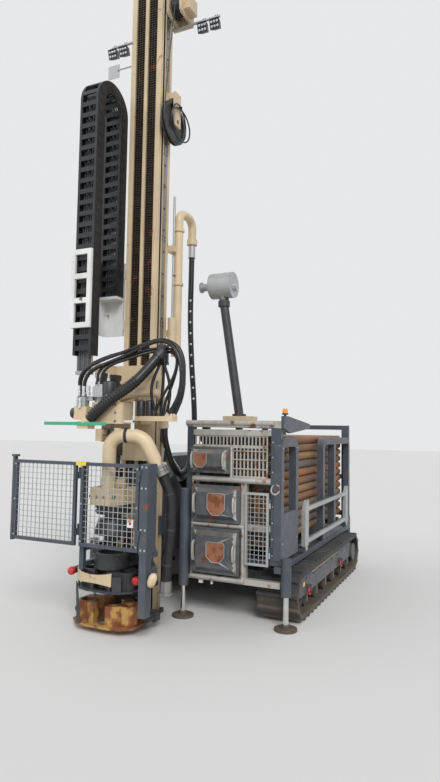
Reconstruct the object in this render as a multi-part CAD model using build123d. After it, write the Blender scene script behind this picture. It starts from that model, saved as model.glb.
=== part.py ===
from build123d import *
import math
import os

# Crawler drilling rig: a short crawler with a side rod rack and a tilting mast at its drilling end.
# Frame while building: X to the right seen from the drilling end, Y from the drill axis to the engine,
# Z up from the ground, with the drill axis at X = 0 and Y = 0. Sizes are in millimetres.
# At the end everything is moved so that the middle of the footprint is at X = 0 and Y = 0.

os.makedirs("parts", exist_ok=True)

RUN_GAP = 0.3            # seat of two pieces that touch but stay separate
MOVE_GAP = 6.0           # room between a piece and one that moves past it
SLIDE_GAP = 0.6          # running gap of a guide

# Crawler
MACHINE_X = 390.0        # centre line of the crawler, to the right of the drill axis
MACHINE_WIDTH = 2300.0
TRACK_WIDTH = 400.0
TRACK_LENGTH = 2830.0
TRACK_HEIGHT = 490.0
TRACK_START = 740.0      # nearest point of the tracks to the drill axis
SHOES = 44
LUG = 24.0
BELT = 46.0
WHEEL_INSET = 45.0       # wheel face behind the belt's edge
ROLLER_RADIUS = 62.0
ROLLERS = 6
CARRIER_PADS = 2
SIDE_BEAM_HEIGHT = 165.0
CROSS_BEAM_WIDTH = 210.0
CROSS_BEAMS = (1330.0, 2760.0)

# Deck, with the cheeks that carry the mast
DECK_BOTTOM = 500.0
DECK_THICKNESS = 60.0
DECK_START = 900.0
DECK_END = 3640.0
CHEEK_INNER = 152.0
CHEEK_THICKNESS = 34.0
TILT_Y = 800.0
TILT_Z = 1250.0
TILT_PIN_RADIUS = 40.0
CHEEK_EYE = 85.0

# Engine end, to the left of the folded mast
HOOD_LEFT = -760.0
HOOD_RIGHT = -205.0
HOOD_START = 1500.0
HOOD_END = 3640.0
HOOD_TOP = 1500.0
HOOD_WALL = 12.0
HOOD_ROOF_CHAMFER = 60.0
DOOR_START = 2150.0
DOOR_LENGTH = 980.0
DOOR_HEIGHT = 700.0
DOOR_SILL = 120.0
DOOR_THICKNESS = 26.0
LOUVRES = 12
LOUVRE_PITCH = 46.0
TANK_START = 960.0
TANK_TOP = 1180.0
EXHAUST_RADIUS = 52.0
EXHAUST_TOP = 1580.0

# Rod rack on the right side
RACK_LEFT = 410.0
RACK_FACE = 670.0
RACK_FACE_DEPTH = 60.0
RACK_POST = 70.0
RACK_RIGHT_POST = (1300.0, 1398.0)
RACK_TOP = 1903.0
RACK_TOP_RAIL = 62.0
RACK_RAIL = 56.0
RACK_RAIL_Z = (380.0, 892.0, 1330.0, 1788.0)
ROD_DIAMETER = 89.0
ROD_PITCH = 89.4
ROD_COLUMNS = 9
ROD_ROWS = 12
ROD_START = 790.0
ROD_LENGTH = 2750.0
ROD_TOP = 1764.0
CORE_LENGTH = 320.0
SIDE_FRAME_X = (1336.0, 1410.0)
SIDE_TUBE = 82.0
GUARD_THICKNESS = 40.0

# Mast
MAST_WIDTH = 360.0
MAST_FRONT = 370.0
MAST_DEPTH = 220.0
MAST_TOP = 6750.0
MAST_WALL = 14.0
RAIL_WIDTH = 55.0
RAIL_DEPTH = 42.0
NECK_DEPTH = 30.0
NECK_INSET = 30.0
CHANNEL_DEPTH = 70.0
RIB_WIDTH = 36.0
SHIFT_TRAVEL = 500.0
CRADLE_GAP = 6.0
CRADLE_DEPTH = 130.0
CRADLE_BOTTOM = 700.0
CRADLE_TOP = 1900.0

# Energy chain
CHAIN_X = -350.0
CHAIN_WIDTH = 210.0
CHAIN_THICKNESS = 120.0
CHAIN_FRONT = -90.0
CHAIN_SPREAD = 520.0     # over both runs, front to back
CHAIN_TOP = 5300.0
CHAIN_FOOT = 2500.0
CHAIN_BACK_FOOT = 3150.0
CHAIN_PLATE = 26.0
CHAIN_PITCH = 110.0
CHAIN_BAR = 46.0


def block(x, y, z):
    """A box from its low and high sides along each axis."""
    size = [pair[1] - pair[0] for pair in (x, y, z)]
    return Pos(sum(x) / 2, sum(y) / 2, sum(z) / 2) * Box(*size)


def disc(radius, base, height, axis="Z"):
    """A round bar that starts at a point and runs along an axis."""
    turn = {"Z": Rot(0, 0, 0), "X": Rot(0, 90, 0), "Y": Rot(-90, 0, 0)}[axis]
    bar = Cylinder(radius, height, align=(Align.CENTER, Align.CENTER, Align.MIN))
    return Pos(*base) * turn * bar


def tube(radius, wall, base, height, axis="Z"):
    return disc(radius, base, height, axis) - disc(radius - wall, base, height, axis)


def bar(start, end, radius):
    """A round bar between two points."""
    line = Edge.make_line(start, end)
    return extrude(Plane(origin=start, z_dir=line % 0) * Circle(radius), line.length)


def beyond(start, end, reach):
    """The point a distance past the end of a run, in line with it."""
    return tuple(Vector(*end) + (Vector(*end) - Vector(*start)).normalized() * reach)


def plate_x(points, x):
    """A plate across X from an outline of (y, z) points."""
    plane = Plane(origin=(x[0], 0, 0), x_dir=(0, 1, 0), z_dir=(1, 0, 0))
    return extrude(plane * Polygon(*points, align=None), x[1] - x[0], dir=(1, 0, 0))


def plate_y(points, y):
    """A plate across Y from an outline of (x, z) points."""
    plane = Plane(origin=(0, y[1], 0), x_dir=(1, 0, 0), z_dir=(0, -1, 0))
    return extrude(plane * Polygon(*points, align=None), y[1] - y[0], dir=(0, -1, 0))


def plate_z(points, z):
    """A plate across Z from an outline of (x, y) points."""
    return extrude(Pos(0, 0, z[0]) * Polygon(*points, align=None), z[1] - z[0], dir=(0, 0, 1))


def group(solids):
    """Like pieces that share a node without touching."""
    return Compound(list(solids))


# Crawler

TRACK_RADIUS = TRACK_HEIGHT / 2 - LUG
INNER_RADIUS = TRACK_RADIUS - BELT
FRONT_WHEEL_Y = TRACK_START + TRACK_HEIGHT / 2
REAR_WHEEL_Y = TRACK_START + TRACK_LENGTH - TRACK_HEIGHT / 2
WHEEL_Z = TRACK_HEIGHT / 2
TRACK_X = (MACHINE_WIDTH - TRACK_WIDTH) / 2
SIDES = {"left": -1, "right": 1}
BEAM_HALF = TRACK_WIDTH / 2 - WHEEL_INSET - 20
PLATE = 20.0
ROLLER_Z = WHEEL_Z - INNER_RADIUS + RUN_GAP + ROLLER_RADIUS
BEAM_BOTTOM = ROLLER_Z + ROLLER_RADIUS + MOVE_GAP
BEAM_TOP = BEAM_BOTTOM + SIDE_BEAM_HEIGHT


def on_loop(distance, height):
    """A point of the track loop, a height outside the belt, as (y, z)."""
    straight = REAR_WHEEL_Y - FRONT_WHEEL_Y
    turn = math.pi * TRACK_RADIUS
    radius = TRACK_RADIUS + height
    distance %= 2 * (straight + turn)
    if distance < straight:
        return FRONT_WHEEL_Y + distance, WHEEL_Z - radius
    distance -= straight
    if distance < turn:
        angle = distance / TRACK_RADIUS - math.pi / 2
        return REAR_WHEEL_Y + radius * math.cos(angle), WHEEL_Z + radius * math.sin(angle)
    distance -= turn
    if distance < straight:
        return REAR_WHEEL_Y - distance, WHEEL_Z + radius
    angle = (distance - straight) / TRACK_RADIUS + math.pi / 2
    return FRONT_WHEEL_Y + radius * math.cos(angle), WHEEL_Z + radius * math.sin(angle)


def track(side):
    """One closed loop with its shoes; each shoe's outline is (share of the pitch, height)."""
    shoe = ((0.10, 0.0), (0.20, LUG), (0.38, LUG), (0.48, 0.0))
    pitch = 2 * (REAR_WHEEL_Y - FRONT_WHEEL_Y + math.pi * TRACK_RADIUS) / SHOES
    points = [on_loop((i + share) * pitch, height) for i in range(SHOES) for share, height in shoe]
    x = MACHINE_X + side * TRACK_X
    span = (x - TRACK_WIDTH / 2, x + TRACK_WIDTH / 2)
    inside = [block(span, (FRONT_WHEEL_Y, REAR_WHEEL_Y), (WHEEL_Z - INNER_RADIUS, WHEEL_Z + INNER_RADIUS))]
    for y in (FRONT_WHEEL_Y, REAR_WHEEL_Y):
        inside.append(disc(INNER_RADIUS, (span[0], y, WHEEL_Z), TRACK_WIDTH, "X"))
    return plate_x(points, span) - inside


def roller_places():
    first = FRONT_WHEEL_Y + INNER_RADIUS + ROLLER_RADIUS + 20
    last = REAR_WHEEL_Y - INNER_RADIUS - ROLLER_RADIUS - 20
    return [first + i * (last - first) / (ROLLERS - 1) for i in range(ROLLERS)]


def wheels(side):
    """The two end wheels and the rollers that stand on the belt."""
    x = MACHINE_X + side * TRACK_X - BEAM_HALF
    solids = []
    for y in (FRONT_WHEEL_Y, REAR_WHEEL_Y):
        rim = disc(INNER_RADIUS - RUN_GAP, (x, y, WHEEL_Z), 2 * BEAM_HALF, "X")
        dish = tube(INNER_RADIUS - 35, INNER_RADIUS - 115, (x, y, WHEEL_Z), 50, "X")
        solids.append(rim - dish - Pos(2 * BEAM_HALF - 50, 0, 0) * dish)
    for y in roller_places():
        solids.append(disc(ROLLER_RADIUS, (x, y, ROLLER_Z), 2 * BEAM_HALF, "X"))
    return group(solids)


def tie_down_lug(side, y):
    x = MACHINE_X + side * (TRACK_X + BEAM_HALF + PLATE)
    span = sorted((x, x + side * LUG_REACH))
    lug = block(span, (y - LUG_THICKNESS / 2, y + LUG_THICKNESS / 2), (LUG_Z - 32, LUG_Z + 32))
    return lug - disc(LUG_HOLE, (sum(span) / 2, y - LUG_THICKNESS, LUG_Z), 2 * LUG_THICKNESS, "Y")


LUG_REACH = 46.0
LUG_THICKNESS = 26.0
LUG_HOLE = 16.0
LUG_Z = 255.0
LUG_PLACES = (1245.0, 2620.0)


def crawler_frame():
    """Side beams with their cover plates and roller brackets, joined by two cross beams."""
    solids = []
    for side in SIDES.values():
        x = MACHINE_X + side * TRACK_X
        body = (FRONT_WHEEL_Y + INNER_RADIUS + 10, REAR_WHEEL_Y - INNER_RADIUS - 10)
        solids.append(block((x - BEAM_HALF, x + BEAM_HALF), body, (BEAM_BOTTOM, BEAM_TOP)))
        outline = [(FRONT_WHEEL_Y - 60, WHEEL_Z - 40), (FRONT_WHEEL_Y + 190, BEAM_BOTTOM),
                   (REAR_WHEEL_Y - 190, BEAM_BOTTOM), (REAR_WHEEL_Y + 60, WHEEL_Z - 40),
                   (REAR_WHEEL_Y + 60, WHEEL_Z + 40), (REAR_WHEEL_Y - 120, BEAM_TOP + 25),
                   (FRONT_WHEEL_Y + 120, BEAM_TOP + 25), (FRONT_WHEEL_Y - 60, WHEEL_Z + 40)]
        for face in (-1, 1):
            inner = x + face * (BEAM_HALF + RUN_GAP)
            outer = x + face * (BEAM_HALF + PLATE)
            solids.append(plate_x(outline, sorted((inner, outer))))
            seat = sorted((x + face * (BEAM_HALF - 30), outer))
            solids.append(block(seat, body, (BEAM_TOP - 40, BEAM_TOP)))
            for y in roller_places():
                bracket = (ROLLER_Z - 22, BEAM_BOTTOM + 10)
                solids.append(block(sorted((inner, outer)), (y - 26, y + 26), bracket))
        for i in range(CARRIER_PADS):
            y = body[0] + (i + 1) * (body[1] - body[0]) / (CARRIER_PADS + 1)
            pad_top = WHEEL_Z + INNER_RADIUS - RUN_GAP
            solids.append(block((x - 60, x + 60), (y - 90, y + 90), (BEAM_TOP, pad_top)))
        motor = (x + side * (BEAM_HALF + PLATE), REAR_WHEEL_Y, WHEEL_Z)
        if side < 0:
            motor = (motor[0] - 22, motor[1], motor[2])
        solids.append(disc(105, motor, 22, "X"))
        solids += [tie_down_lug(side, y) for y in LUG_PLACES]
    reach = TRACK_X - BEAM_HALF - PLATE + 1
    for y in CROSS_BEAMS:
        span = (y - CROSS_BEAM_WIDTH / 2, y + CROSS_BEAM_WIDTH / 2)
        solids.append(block((MACHINE_X - reach, MACHINE_X + reach), span, (BEAM_BOTTOM + 20, BEAM_TOP)))
        for side in SIDES.values():
            x = MACHINE_X + side * 330
            solids.append(block((x - 70, x + 70), span, (BEAM_TOP - 1, DECK_BOTTOM)))
    return Part() + solids


# Deck and power pack

DECK_TOP = DECK_BOTTOM + DECK_THICKNESS
CYLINDER_BASE_Y = 2000.0
CYLINDER_BASE_Z = 750.0
CYLINDER_PIN = 25.0
EYE_HALF = 40.0
EAR = 28.0


def main_deck():
    """The deck plate with its rails, the cheeks of the mast pivot and the ears of the tilt cylinder."""
    right = MACHINE_X + MACHINE_WIDTH / 2 - 130
    outline = [(HOOD_LEFT, DECK_START), (-190, DECK_START), (-190, 745), (190, 745),
               (190, DECK_START), (right, DECK_START), (right, DECK_END), (HOOD_LEFT, DECK_END)]
    deck = plate_z(outline, (DECK_BOTTOM, DECK_TOP))
    cheek = [(745, DECK_TOP), (1060, DECK_TOP), (1060, 660), (TILT_Y + 78, TILT_Z), (TILT_Y - 70, TILT_Z)]
    ear = [(CYLINDER_BASE_Y - 110, DECK_TOP), (CYLINDER_BASE_Y + 130, DECK_TOP),
           (CYLINDER_BASE_Y + 45, CYLINDER_BASE_Z + 20), (CYLINDER_BASE_Y - 45, CYLINDER_BASE_Z + 20)]
    for face in (-1, 1):
        span = sorted((face * CHEEK_INNER, face * (CHEEK_INNER + CHEEK_THICKNESS)))
        deck += plate_x(cheek, span)
        deck += disc(CHEEK_EYE, (span[0], TILT_Y, TILT_Z), CHEEK_THICKNESS, "X")
        deck -= disc(TILT_PIN_RADIUS, (span[0], TILT_Y, TILT_Z), CHEEK_THICKNESS, "X")
        near = EYE_HALF + 1
        span = sorted((face * near, face * (near + EAR)))
        deck += plate_x(ear, span)
        deck += disc(55, (span[0], CYLINDER_BASE_Y, CYLINDER_BASE_Z), EAR, "X")
        deck -= disc(CYLINDER_PIN, (span[0], CYLINDER_BASE_Y, CYLINDER_BASE_Z), EAR, "X")
    return deck


def engine_block():
    return block((-650, -330), (2080, 3300), (DECK_TOP, 1180))


def engine_hood():
    """A sheet hood, open below, with a doorway, louvres in its side and a grille in its end."""
    shape = [(HOOD_LEFT, DECK_TOP), (HOOD_RIGHT, DECK_TOP), (HOOD_RIGHT, HOOD_TOP),
             (HOOD_LEFT + HOOD_ROOF_CHAMFER, HOOD_TOP), (HOOD_LEFT, HOOD_TOP - HOOD_ROOF_CHAMFER)]
    inner = [(HOOD_LEFT + HOOD_WALL, DECK_TOP), (HOOD_RIGHT - HOOD_WALL, DECK_TOP),
             (HOOD_RIGHT - HOOD_WALL, HOOD_TOP - HOOD_WALL),
             (HOOD_LEFT + HOOD_ROOF_CHAMFER + 5, HOOD_TOP - HOOD_WALL),
             (HOOD_LEFT + HOOD_WALL, HOOD_TOP - HOOD_ROOF_CHAMFER - 5)]
    hood = plate_y(shape, (HOOD_START, HOOD_END))
    hood -= plate_y(inner, (HOOD_START + HOOD_WALL, HOOD_END - HOOD_WALL))
    wall = (HOOD_LEFT - 1, HOOD_LEFT + HOOD_WALL + 1)
    sill = DECK_TOP + DOOR_SILL
    hood -= block(wall, (DOOR_START, DOOR_START + DOOR_LENGTH), (sill, sill + DOOR_HEIGHT))
    slots = [block(wall, (HOOD_START + 120, DOOR_START - 110), (z, z + 22)) for z in louvre_heights()]
    end = (HOOD_END - HOOD_WALL - 1, HOOD_END + 1)
    slots += [block((HOOD_LEFT + 90, HOOD_RIGHT - 90), end, (z, z + 22)) for z in louvre_heights()]
    hood -= slots
    for z in HINGE_HEIGHTS:
        hood += disc(KNUCKLE, (*DOOR_HINGE, z + 60.5), 40)
        hood += block((DOOR_HINGE[0], HOOD_LEFT + 1), (DOOR_HINGE[1] - 6, DOOR_HINGE[1] + 6), (z + 60.5, z + 100.5))
    return hood


def louvre_heights():
    return [DECK_TOP + 180 + i * LOUVRE_PITCH for i in range(LOUVRES)]


DOOR_HINGE = (HOOD_LEFT - 19.0, DOOR_START - 32.0)
HINGE_HEIGHTS = (DECK_TOP + DOOR_SILL + 60, DECK_TOP + DOOR_SILL + DOOR_HEIGHT - 120)
KNUCKLE = 9.0


def hood_door():
    """A side door on an upright hinge rod at its front edge, with a pull handle."""
    sill = DECK_TOP + DOOR_SILL
    face = (HOOD_LEFT - 6 - DOOR_THICKNESS, HOOD_LEFT - 6)
    run = (DOOR_START - 20, DOOR_START + DOOR_LENGTH + 20)
    door = block(face, run, (sill - 20, sill + DOOR_HEIGHT + 20))
    for i in range(3):
        z = sill + 140 + i * 190
        door -= block((face[0] - 1, face[0] + 8), (run[0] + 130, run[1] - 200), (z, z + 90))
    door += block((face[0] - 34, face[0] - 22), (run[1] - 90, run[1] - 66), (sill + 300, sill + 440))
    for z in (sill + 300, sill + 420):
        door += block((face[0] - 34, face[0] + 1), (run[1] - 90, run[1] - 66), (z, z + 20))
    for z in HINGE_HEIGHTS:
        door += disc(KNUCKLE, (*DOOR_HINGE, z), 60)
        door += block((DOOR_HINGE[0] - 5, DOOR_HINGE[0] + 5), (DOOR_HINGE[1], run[0] + 1), (z, z + 60))
    return door


def fluid_tank():
    """A tank with a rounded outline, a filler neck and two straps."""
    box = block((-720, -240), (TANK_START, HOOD_START - 60), (DECK_TOP, TANK_TOP))
    upright = box.edges().filter_by(Axis.Z)
    tank = fillet(upright, 40)
    tank += disc(45, (-560, TANK_START + 120, TANK_TOP - 1), 46)
    tank += disc(56, (-560, TANK_START + 120, TANK_TOP + 44), 22)
    return tank


def exhaust_stack():
    """A silencer and its upturned tail pipe on the hood's roof."""
    x, y = -640, HOOD_START + 260
    stack = disc(EXHAUST_RADIUS + 28, (x, y, HOOD_TOP), 60)
    stack += disc(EXHAUST_RADIUS, (x, y, HOOD_TOP + 59), 260)
    stack -= disc(EXHAUST_RADIUS - 5, (x, y, HOOD_TOP + 120), 260)
    return stack


# Rod rack

FACE = (RACK_FACE, RACK_FACE + RACK_FACE_DEPTH)
BACK_FACE = (DECK_END - 60.0, DECK_END)
SIDE_FRAMES = (            # start along Y, end along Y, foot height, sill height
    (RACK_FACE - 15, 1190.0, 607.0, 1030.0),
    (2170.0, 3600.0, 565.0, 640.0),
)


def arch(start, end, foot, sill, x):
    """A side frame of bent tube seen from the side: two legs, a rounded top and a sill plate."""
    top = 1740.0
    outer = plate_x([(start, foot), (end, foot), (end, top), (start, top)], x)
    outer = fillet(outer.edges().filter_by(Axis.X).group_by(Axis.Z)[-1], 120)
    hole = plate_x([(start + SIDE_TUBE, sill), (end - SIDE_TUBE, sill),
                    (end - SIDE_TUBE, top - SIDE_TUBE), (start + SIDE_TUBE, top - SIDE_TUBE)], x)
    hole = fillet(hole.edges().filter_by(Axis.X).group_by(Axis.Z)[-1], 50)
    return outer - hole


def rod_rack():
    """The rack's two end faces, its bearers and sills, and the arches on its outer side."""
    left = (RACK_LEFT, RACK_LEFT + RACK_POST)
    width = (RACK_LEFT, RACK_RIGHT_POST[1])
    solids = [block(left, FACE, (RACK_RAIL_Z[0] - 28, RACK_TOP)),
              block(RACK_RIGHT_POST, FACE, (560, RACK_TOP)),
              block((RACK_LEFT - 8, width[1]), FACE, (RACK_TOP - RACK_TOP_RAIL, RACK_TOP))]
    for z in RACK_RAIL_Z:
        solids.append(block(width, FACE, (z - RACK_RAIL / 2, z + RACK_RAIL / 2)))
    solids.append(block((1000, 1056), FACE, (RACK_RAIL_Z[0], RACK_RAIL_Z[2])))
    for x in (left, RACK_RIGHT_POST):
        solids.append(block(x, BACK_FACE, (DECK_TOP, RACK_TOP)))
    for z in (700, 1200, RACK_TOP - 30):
        solids.append(block(width, BACK_FACE, (z - 30, z + 30)))
    long = (FACE[0], BACK_FACE[1])
    for x in (left, (1285, 1345)):
        solids.append(block(x, (DECK_START + 10, long[1]), (DECK_TOP, 630)))
    solids.append(block(left, long, (RACK_TOP - RACK_TOP_RAIL, RACK_TOP)))
    for y in (1000, 1900, 2800):
        solids.append(block(left, (y, y + 60), (DECK_TOP, RACK_TOP)))
    for y in BEARERS:
        solids.append(block((RACK_LEFT + 10, 1345), (y - 35, y + 35), (600, ROD_BED)))
    for start, end, foot, sill in SIDE_FRAMES:
        solids.append(arch(start, end, foot, sill, SIDE_FRAME_X))
        for y in (start + 30, end - 70):
            solids.append(block((1330, SIDE_FRAME_X[0] + 1), (y, y + 40), (foot + 5, foot + 60)))
    solids.append(block((1330, SIDE_FRAME_X[1]), (2700, 2790), (570, 1690)))
    solids.append(block((1290, SIDE_FRAME_X[0] + 1), (DECK_START + 20, 1180), (610, 660)))
    for y in (2190, 2700, 3530):
        solids.append(block((1290, SIDE_FRAME_X[0] + 1), (y, y + 60), (575, 628)))
    for z in GATE_KNUCKLES:
        solids.append(disc(KNUCKLE, (*GATE_HINGE, z + 50 + RUN_GAP), 40))
        solids.append(block((GATE_HINGE[0] - 5, GATE_HINGE[0] + 6), (GATE_HINGE[1], FACE[0] + 1),
                            (z + 50 + RUN_GAP, z + 90 + RUN_GAP)))
    for y in GUARD_FEET:
        for ear in (y + 12, y + 106):
            solids.append(block((1344, GUARD_PIN_X + 20), (ear, ear + 12), (GUARD_PIN_Z - 20, GUARD_PIN_Z + 20)))
        solids.append(disc(GUARD_PIN, (GUARD_PIN_X, y + 12, GUARD_PIN_Z), 106, "Y"))
    arm = [(FACE[0], RACK_TOP - 70), (FACE[0], RACK_TOP + 48), (FACE[0] + 130, RACK_TOP + 48),
           (1540, RACK_TOP - 15), (1540, RACK_TOP - 60), (FACE[0] + 200, RACK_TOP - 115)]
    solids.append(plate_x(arm, (1398, 1428)))
    solids.append(block((1380, 1428), FACE, (RACK_TOP - 60, RACK_TOP - 10)))
    return Part() + solids


BEARERS = (1150.0, 2150.0, 3200.0)
ROD_BED = ROD_TOP - ROD_DIAMETER - (ROD_ROWS - 1) * ROD_PITCH - RUN_GAP


def rod_places():
    """Centres of the rods in the rack, as (x, z), with the inner ones told apart."""
    right = RACK_RIGHT_POST[0] - ROD_DIAMETER / 2 - 4
    for column in range(ROD_COLUMNS):
        for row in range(ROD_ROWS):
            inner = 0 < column < ROD_COLUMNS - 1 and 0 < row < ROD_ROWS - 1
            yield right - column * ROD_PITCH, ROD_TOP - ROD_DIAMETER / 2 - row * ROD_PITCH, inner


def drill_rods():
    """The outer rods of the full rack; the rods inside them are a plain mass behind each end face."""
    rods = [disc(ROD_DIAMETER / 2, (x, ROD_START, z), ROD_LENGTH, "Y")
            for x, z, inner in rod_places() if not inner]
    kept = [(x, z) for x, z, inner in rod_places() if inner]
    reach = ROD_DIAMETER / 2
    xs = [x for x, z in kept]
    zs = [z for x, z in kept]
    cores = [block((min(xs) - reach, max(xs) + reach), (y, y + CORE_LENGTH), (min(zs) - reach, max(zs) + reach))
             for y in (ROD_START + 30, ROD_START + ROD_LENGTH - 30 - CORE_LENGTH)]
    return group(rods + cores)


def end_panels():
    """Chests on the rack's end face, with hipped lids, round shields and pull handles."""
    solids = []
    table = (                # left, right, bottom, top, shield centre as a share of the width
        (472, 890, 1391, 1644, 0.32),
        (502, 1003, 924, 1273, 0.56),
        (502, 1003, 430, 860, 0.56),
    )
    for left, right, bottom, top, share in table:
        face = (FACE[0] - 44, FACE[0] - RUN_GAP)
        chest = block((left, right), face, (bottom, top))
        middle = (left + right) / 2
        lid = Plane(origin=(middle, face[0], (bottom + top) / 2), x_dir=(1, 0, 0), z_dir=(0, -1, 0))
        chest += extrude(lid * Rectangle(right - left - 50, top - bottom - 50), 46, taper=40)
        shield = (left + share * (right - left), face[0] - 40, (bottom + top) / 2)
        chest += disc(min(95, (top - bottom) * 0.29), (shield[0], face[0] - 56, shield[2]), 60, "Y")
        for side in (left + 34, right - 46):
            grip = block((side, side + 14), (face[0] - 62, face[0] - 46), (shield[2] - 80, shield[2] + 80))
            for z in (shield[2] - 80, shield[2] + 64):
                grip += block((side, side + 14), (face[0] - 62, face[0] + 1), (z, z + 16))
            chest += grip
        solids.append(chest)
    return group(solids)


def rack_grids():
    """Bar grids over the rod ends, above and beside the upper chest."""
    solids = []
    middle = 1652.0
    table = (                # left, right, bottom, top
        (494, 1262, middle, RACK_RAIL_Z[3] - RACK_RAIL / 2 - RUN_GAP),
        (900, 1262, RACK_RAIL_Z[2] + RACK_RAIL / 2 + RUN_GAP, middle - RUN_GAP),
    )
    for left, right, bottom, top in table:
        grid = block((left, right), (FACE[0] + 10, FACE[0] + 24), (bottom, bottom + 14))
        grid += block((left, right), (FACE[0] + 10, FACE[0] + 24), (top - 14, top))
        bars = int((right - left) / 38)
        for i in range(bars + 1):
            x = left + 6 + i * (right - left - 12) / bars
            grid += block((x - 6, x + 6), (FACE[0] + 10, FACE[0] + 24), (bottom + 1, top - 1))
        solids.append(grid)
    return group(solids)


GUARD_FEET = (1290.0, 3150.0)
GUARD_PIN_X = SIDE_FRAME_X[1] + MOVE_GAP + GUARD_THICKNESS / 2
GUARD_PIN_Z = 600.0
GUARD_PIN = 12.0


def side_guard():
    """A galvanised stop frame that folds down on pins at the feet of its two uprights."""
    x = (SIDE_FRAME_X[1] + MOVE_GAP, SIDE_FRAME_X[1] + MOVE_GAP + GUARD_THICKNESS)
    solids = []
    for y in GUARD_FEET:
        upright = [(y, 640), (y + 130, 640), (y + 130, 1100), (y + 90, 1100), (y, 1000)]
        solids.append(plate_x(upright, x))
        near = GUARD_THICKNESS / 2 - 2
        foot = block((GUARD_PIN_X - near, GUARD_PIN_X + near), (y + 30, y + 100), (GUARD_PIN_Z, 641))
        foot += disc(near, (GUARD_PIN_X, y + 30, GUARD_PIN_Z), 70, "Y")
        solids.append(foot - disc(GUARD_PIN + 1, (GUARD_PIN_X, y + 29, GUARD_PIN_Z), 72, "Y"))
    for z in (680, 1010):
        solids.append(block((x[0] + 4, x[1] - 4), (GUARD_FEET[0] + 60, GUARD_FEET[1] + 60), (z - 22, z + 22)))
    return Part() + solids


def mesh_panel(x, z, y, frame, pitch, wire):
    """A panel of square tube with welded mesh: upright wires in front, level wires behind."""
    depth = frame
    ring = block(x, (y, y + depth), z)
    ring -= block((x[0] + frame, x[1] - frame), (y - 1, y + depth + 1), (z[0] + frame, z[1] - frame))
    solids = []
    count = round((x[1] - x[0] - frame) / pitch)
    for i in range(1, count):
        at = x[0] + frame / 2 + i * (x[1] - x[0] - frame) / count
        solids.append(block((at - wire / 2, at + wire / 2), (y + 6, y + 6 + wire), (z[0] + 5, z[1] - 5)))
    count = round((z[1] - z[0] - frame) / pitch)
    for i in range(1, count):
        at = z[0] + frame / 2 + i * (z[1] - z[0] - frame) / count
        low = y + 6 + wire + RUN_GAP
        solids.append(block((x[0] + 5, x[1] - 5), (low, low + wire), (at - wire / 2, at + wire / 2)))
    return ring + solids


GATE = (1056.0, 1292.0, 548.0, 1225.0)
GATE_FRAME = 22.0
GATE_HINGE = (GATE[1] + 12.0, FACE[0] - 34.0)
GATE_KNUCKLES = (GATE[2] + 80, GATE[3] - 140)


def mesh_gate():
    """A small mesh gate beside the chests, hung on the rack's right post."""
    y = FACE[0] - MOVE_GAP - 28
    gate = mesh_panel(GATE[:2], GATE[2:], y, GATE_FRAME, 44, 5)
    for z in GATE_KNUCKLES:
        gate += block((GATE[1] - 4, GATE_HINGE[0]), (y + 2, y + 14), (z, z + 50))
        gate += disc(KNUCKLE, (*GATE_HINGE, z), 50)
    return gate


def beacon():
    """An amber lamp on its stalk, on the arm at the rack's top corner."""
    x, y, z = 1413, FACE[0] + 70, RACK_TOP + 48
    lamp = disc(12, (x, y, z), 14) + disc(30, (x, y, z + 13), 14)
    dome = disc(26, (x, y, z + 26), 34)
    crown = Pos(x, y, z + 60) * Cone(26, 15, 12, align=(Align.CENTER, Align.CENTER, Align.MIN))
    return lamp + dome + crown


MANIFOLD = ((700.0, 1000.0), (880.0, 1080.0), (RACK_TOP, RACK_TOP + 50))
DRUM_X = 640.0
DRUM_Z = 3330.0
DRUM_RADIUS = 135.0


def discharge_stack():
    """A black discharge pipe that stands on the rack's top and ends in a grey drum with two stubs."""
    y = sum(MANIFOLD[1]) / 2
    foot = (840.0, y, MANIFOLD[2][1] + 14)
    head = (DRUM_X + 10, y, DRUM_Z - DRUM_RADIUS - 60)
    path = Edge.make_line(foot, head)
    pipe = sweep(Plane(origin=foot, z_dir=path % 0) * Circle(46), path)
    collar = disc(62, (head[0], y, head[2] - 30), 60) + disc(50, (head[0], y, head[2] + 29), 60)
    drum = disc(DRUM_RADIUS, (DRUM_X - 130, y, DRUM_Z), 250, "X")
    drum += disc(40, (DRUM_X - 250, y, DRUM_Z), 121, "X") + disc(58, (DRUM_X - 262, y, DRUM_Z), 16, "X")
    drum += disc(46, (DRUM_X + 119, y, DRUM_Z - 20), 40, "X")
    return pipe + collar + drum + disc(72, (foot[0], y, MANIFOLD[2][1] + RUN_GAP), 24)


def rack_manifold():
    """The flat manifold box on the rack's top, with its cross bearer."""
    box = block(*MANIFOLD)
    bearer = block((RACK_LEFT + RACK_POST, RACK_RIGHT_POST[0] + 40), (940, 1000), (RACK_TOP - 50, RACK_TOP))
    strut = block((RACK_RIGHT_POST[0] + 20, RACK_RIGHT_POST[1] - 2), (940, 1000), (RACK_TOP - 100, RACK_TOP))
    return box + bearer + strut


# Support jacks

JACKS = (                    # x, y, top of the tube, what its arm reaches to
    (1462.0, 655.0, 640.0, "deck front"),
    (433.0, 600.0, 1230.0, "rack face"),
    (-675.0, 655.0, 640.0, "deck front"),
    (1340.0, 3740.0, 640.0, "deck end"),
    (-675.0, 3740.0, 640.0, "deck end"),
)
JACK_RADIUS = 48.0
JACK_WALL = 8.0
JACK_ROD = 26.0
JACK_BOTTOM = 300.0
PAD_RADIUS = 105.0
PAD_THICKNESS = 22.0
ARM_Z = (DECK_BOTTOM + 2.0, DECK_TOP - 2.0)


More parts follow.
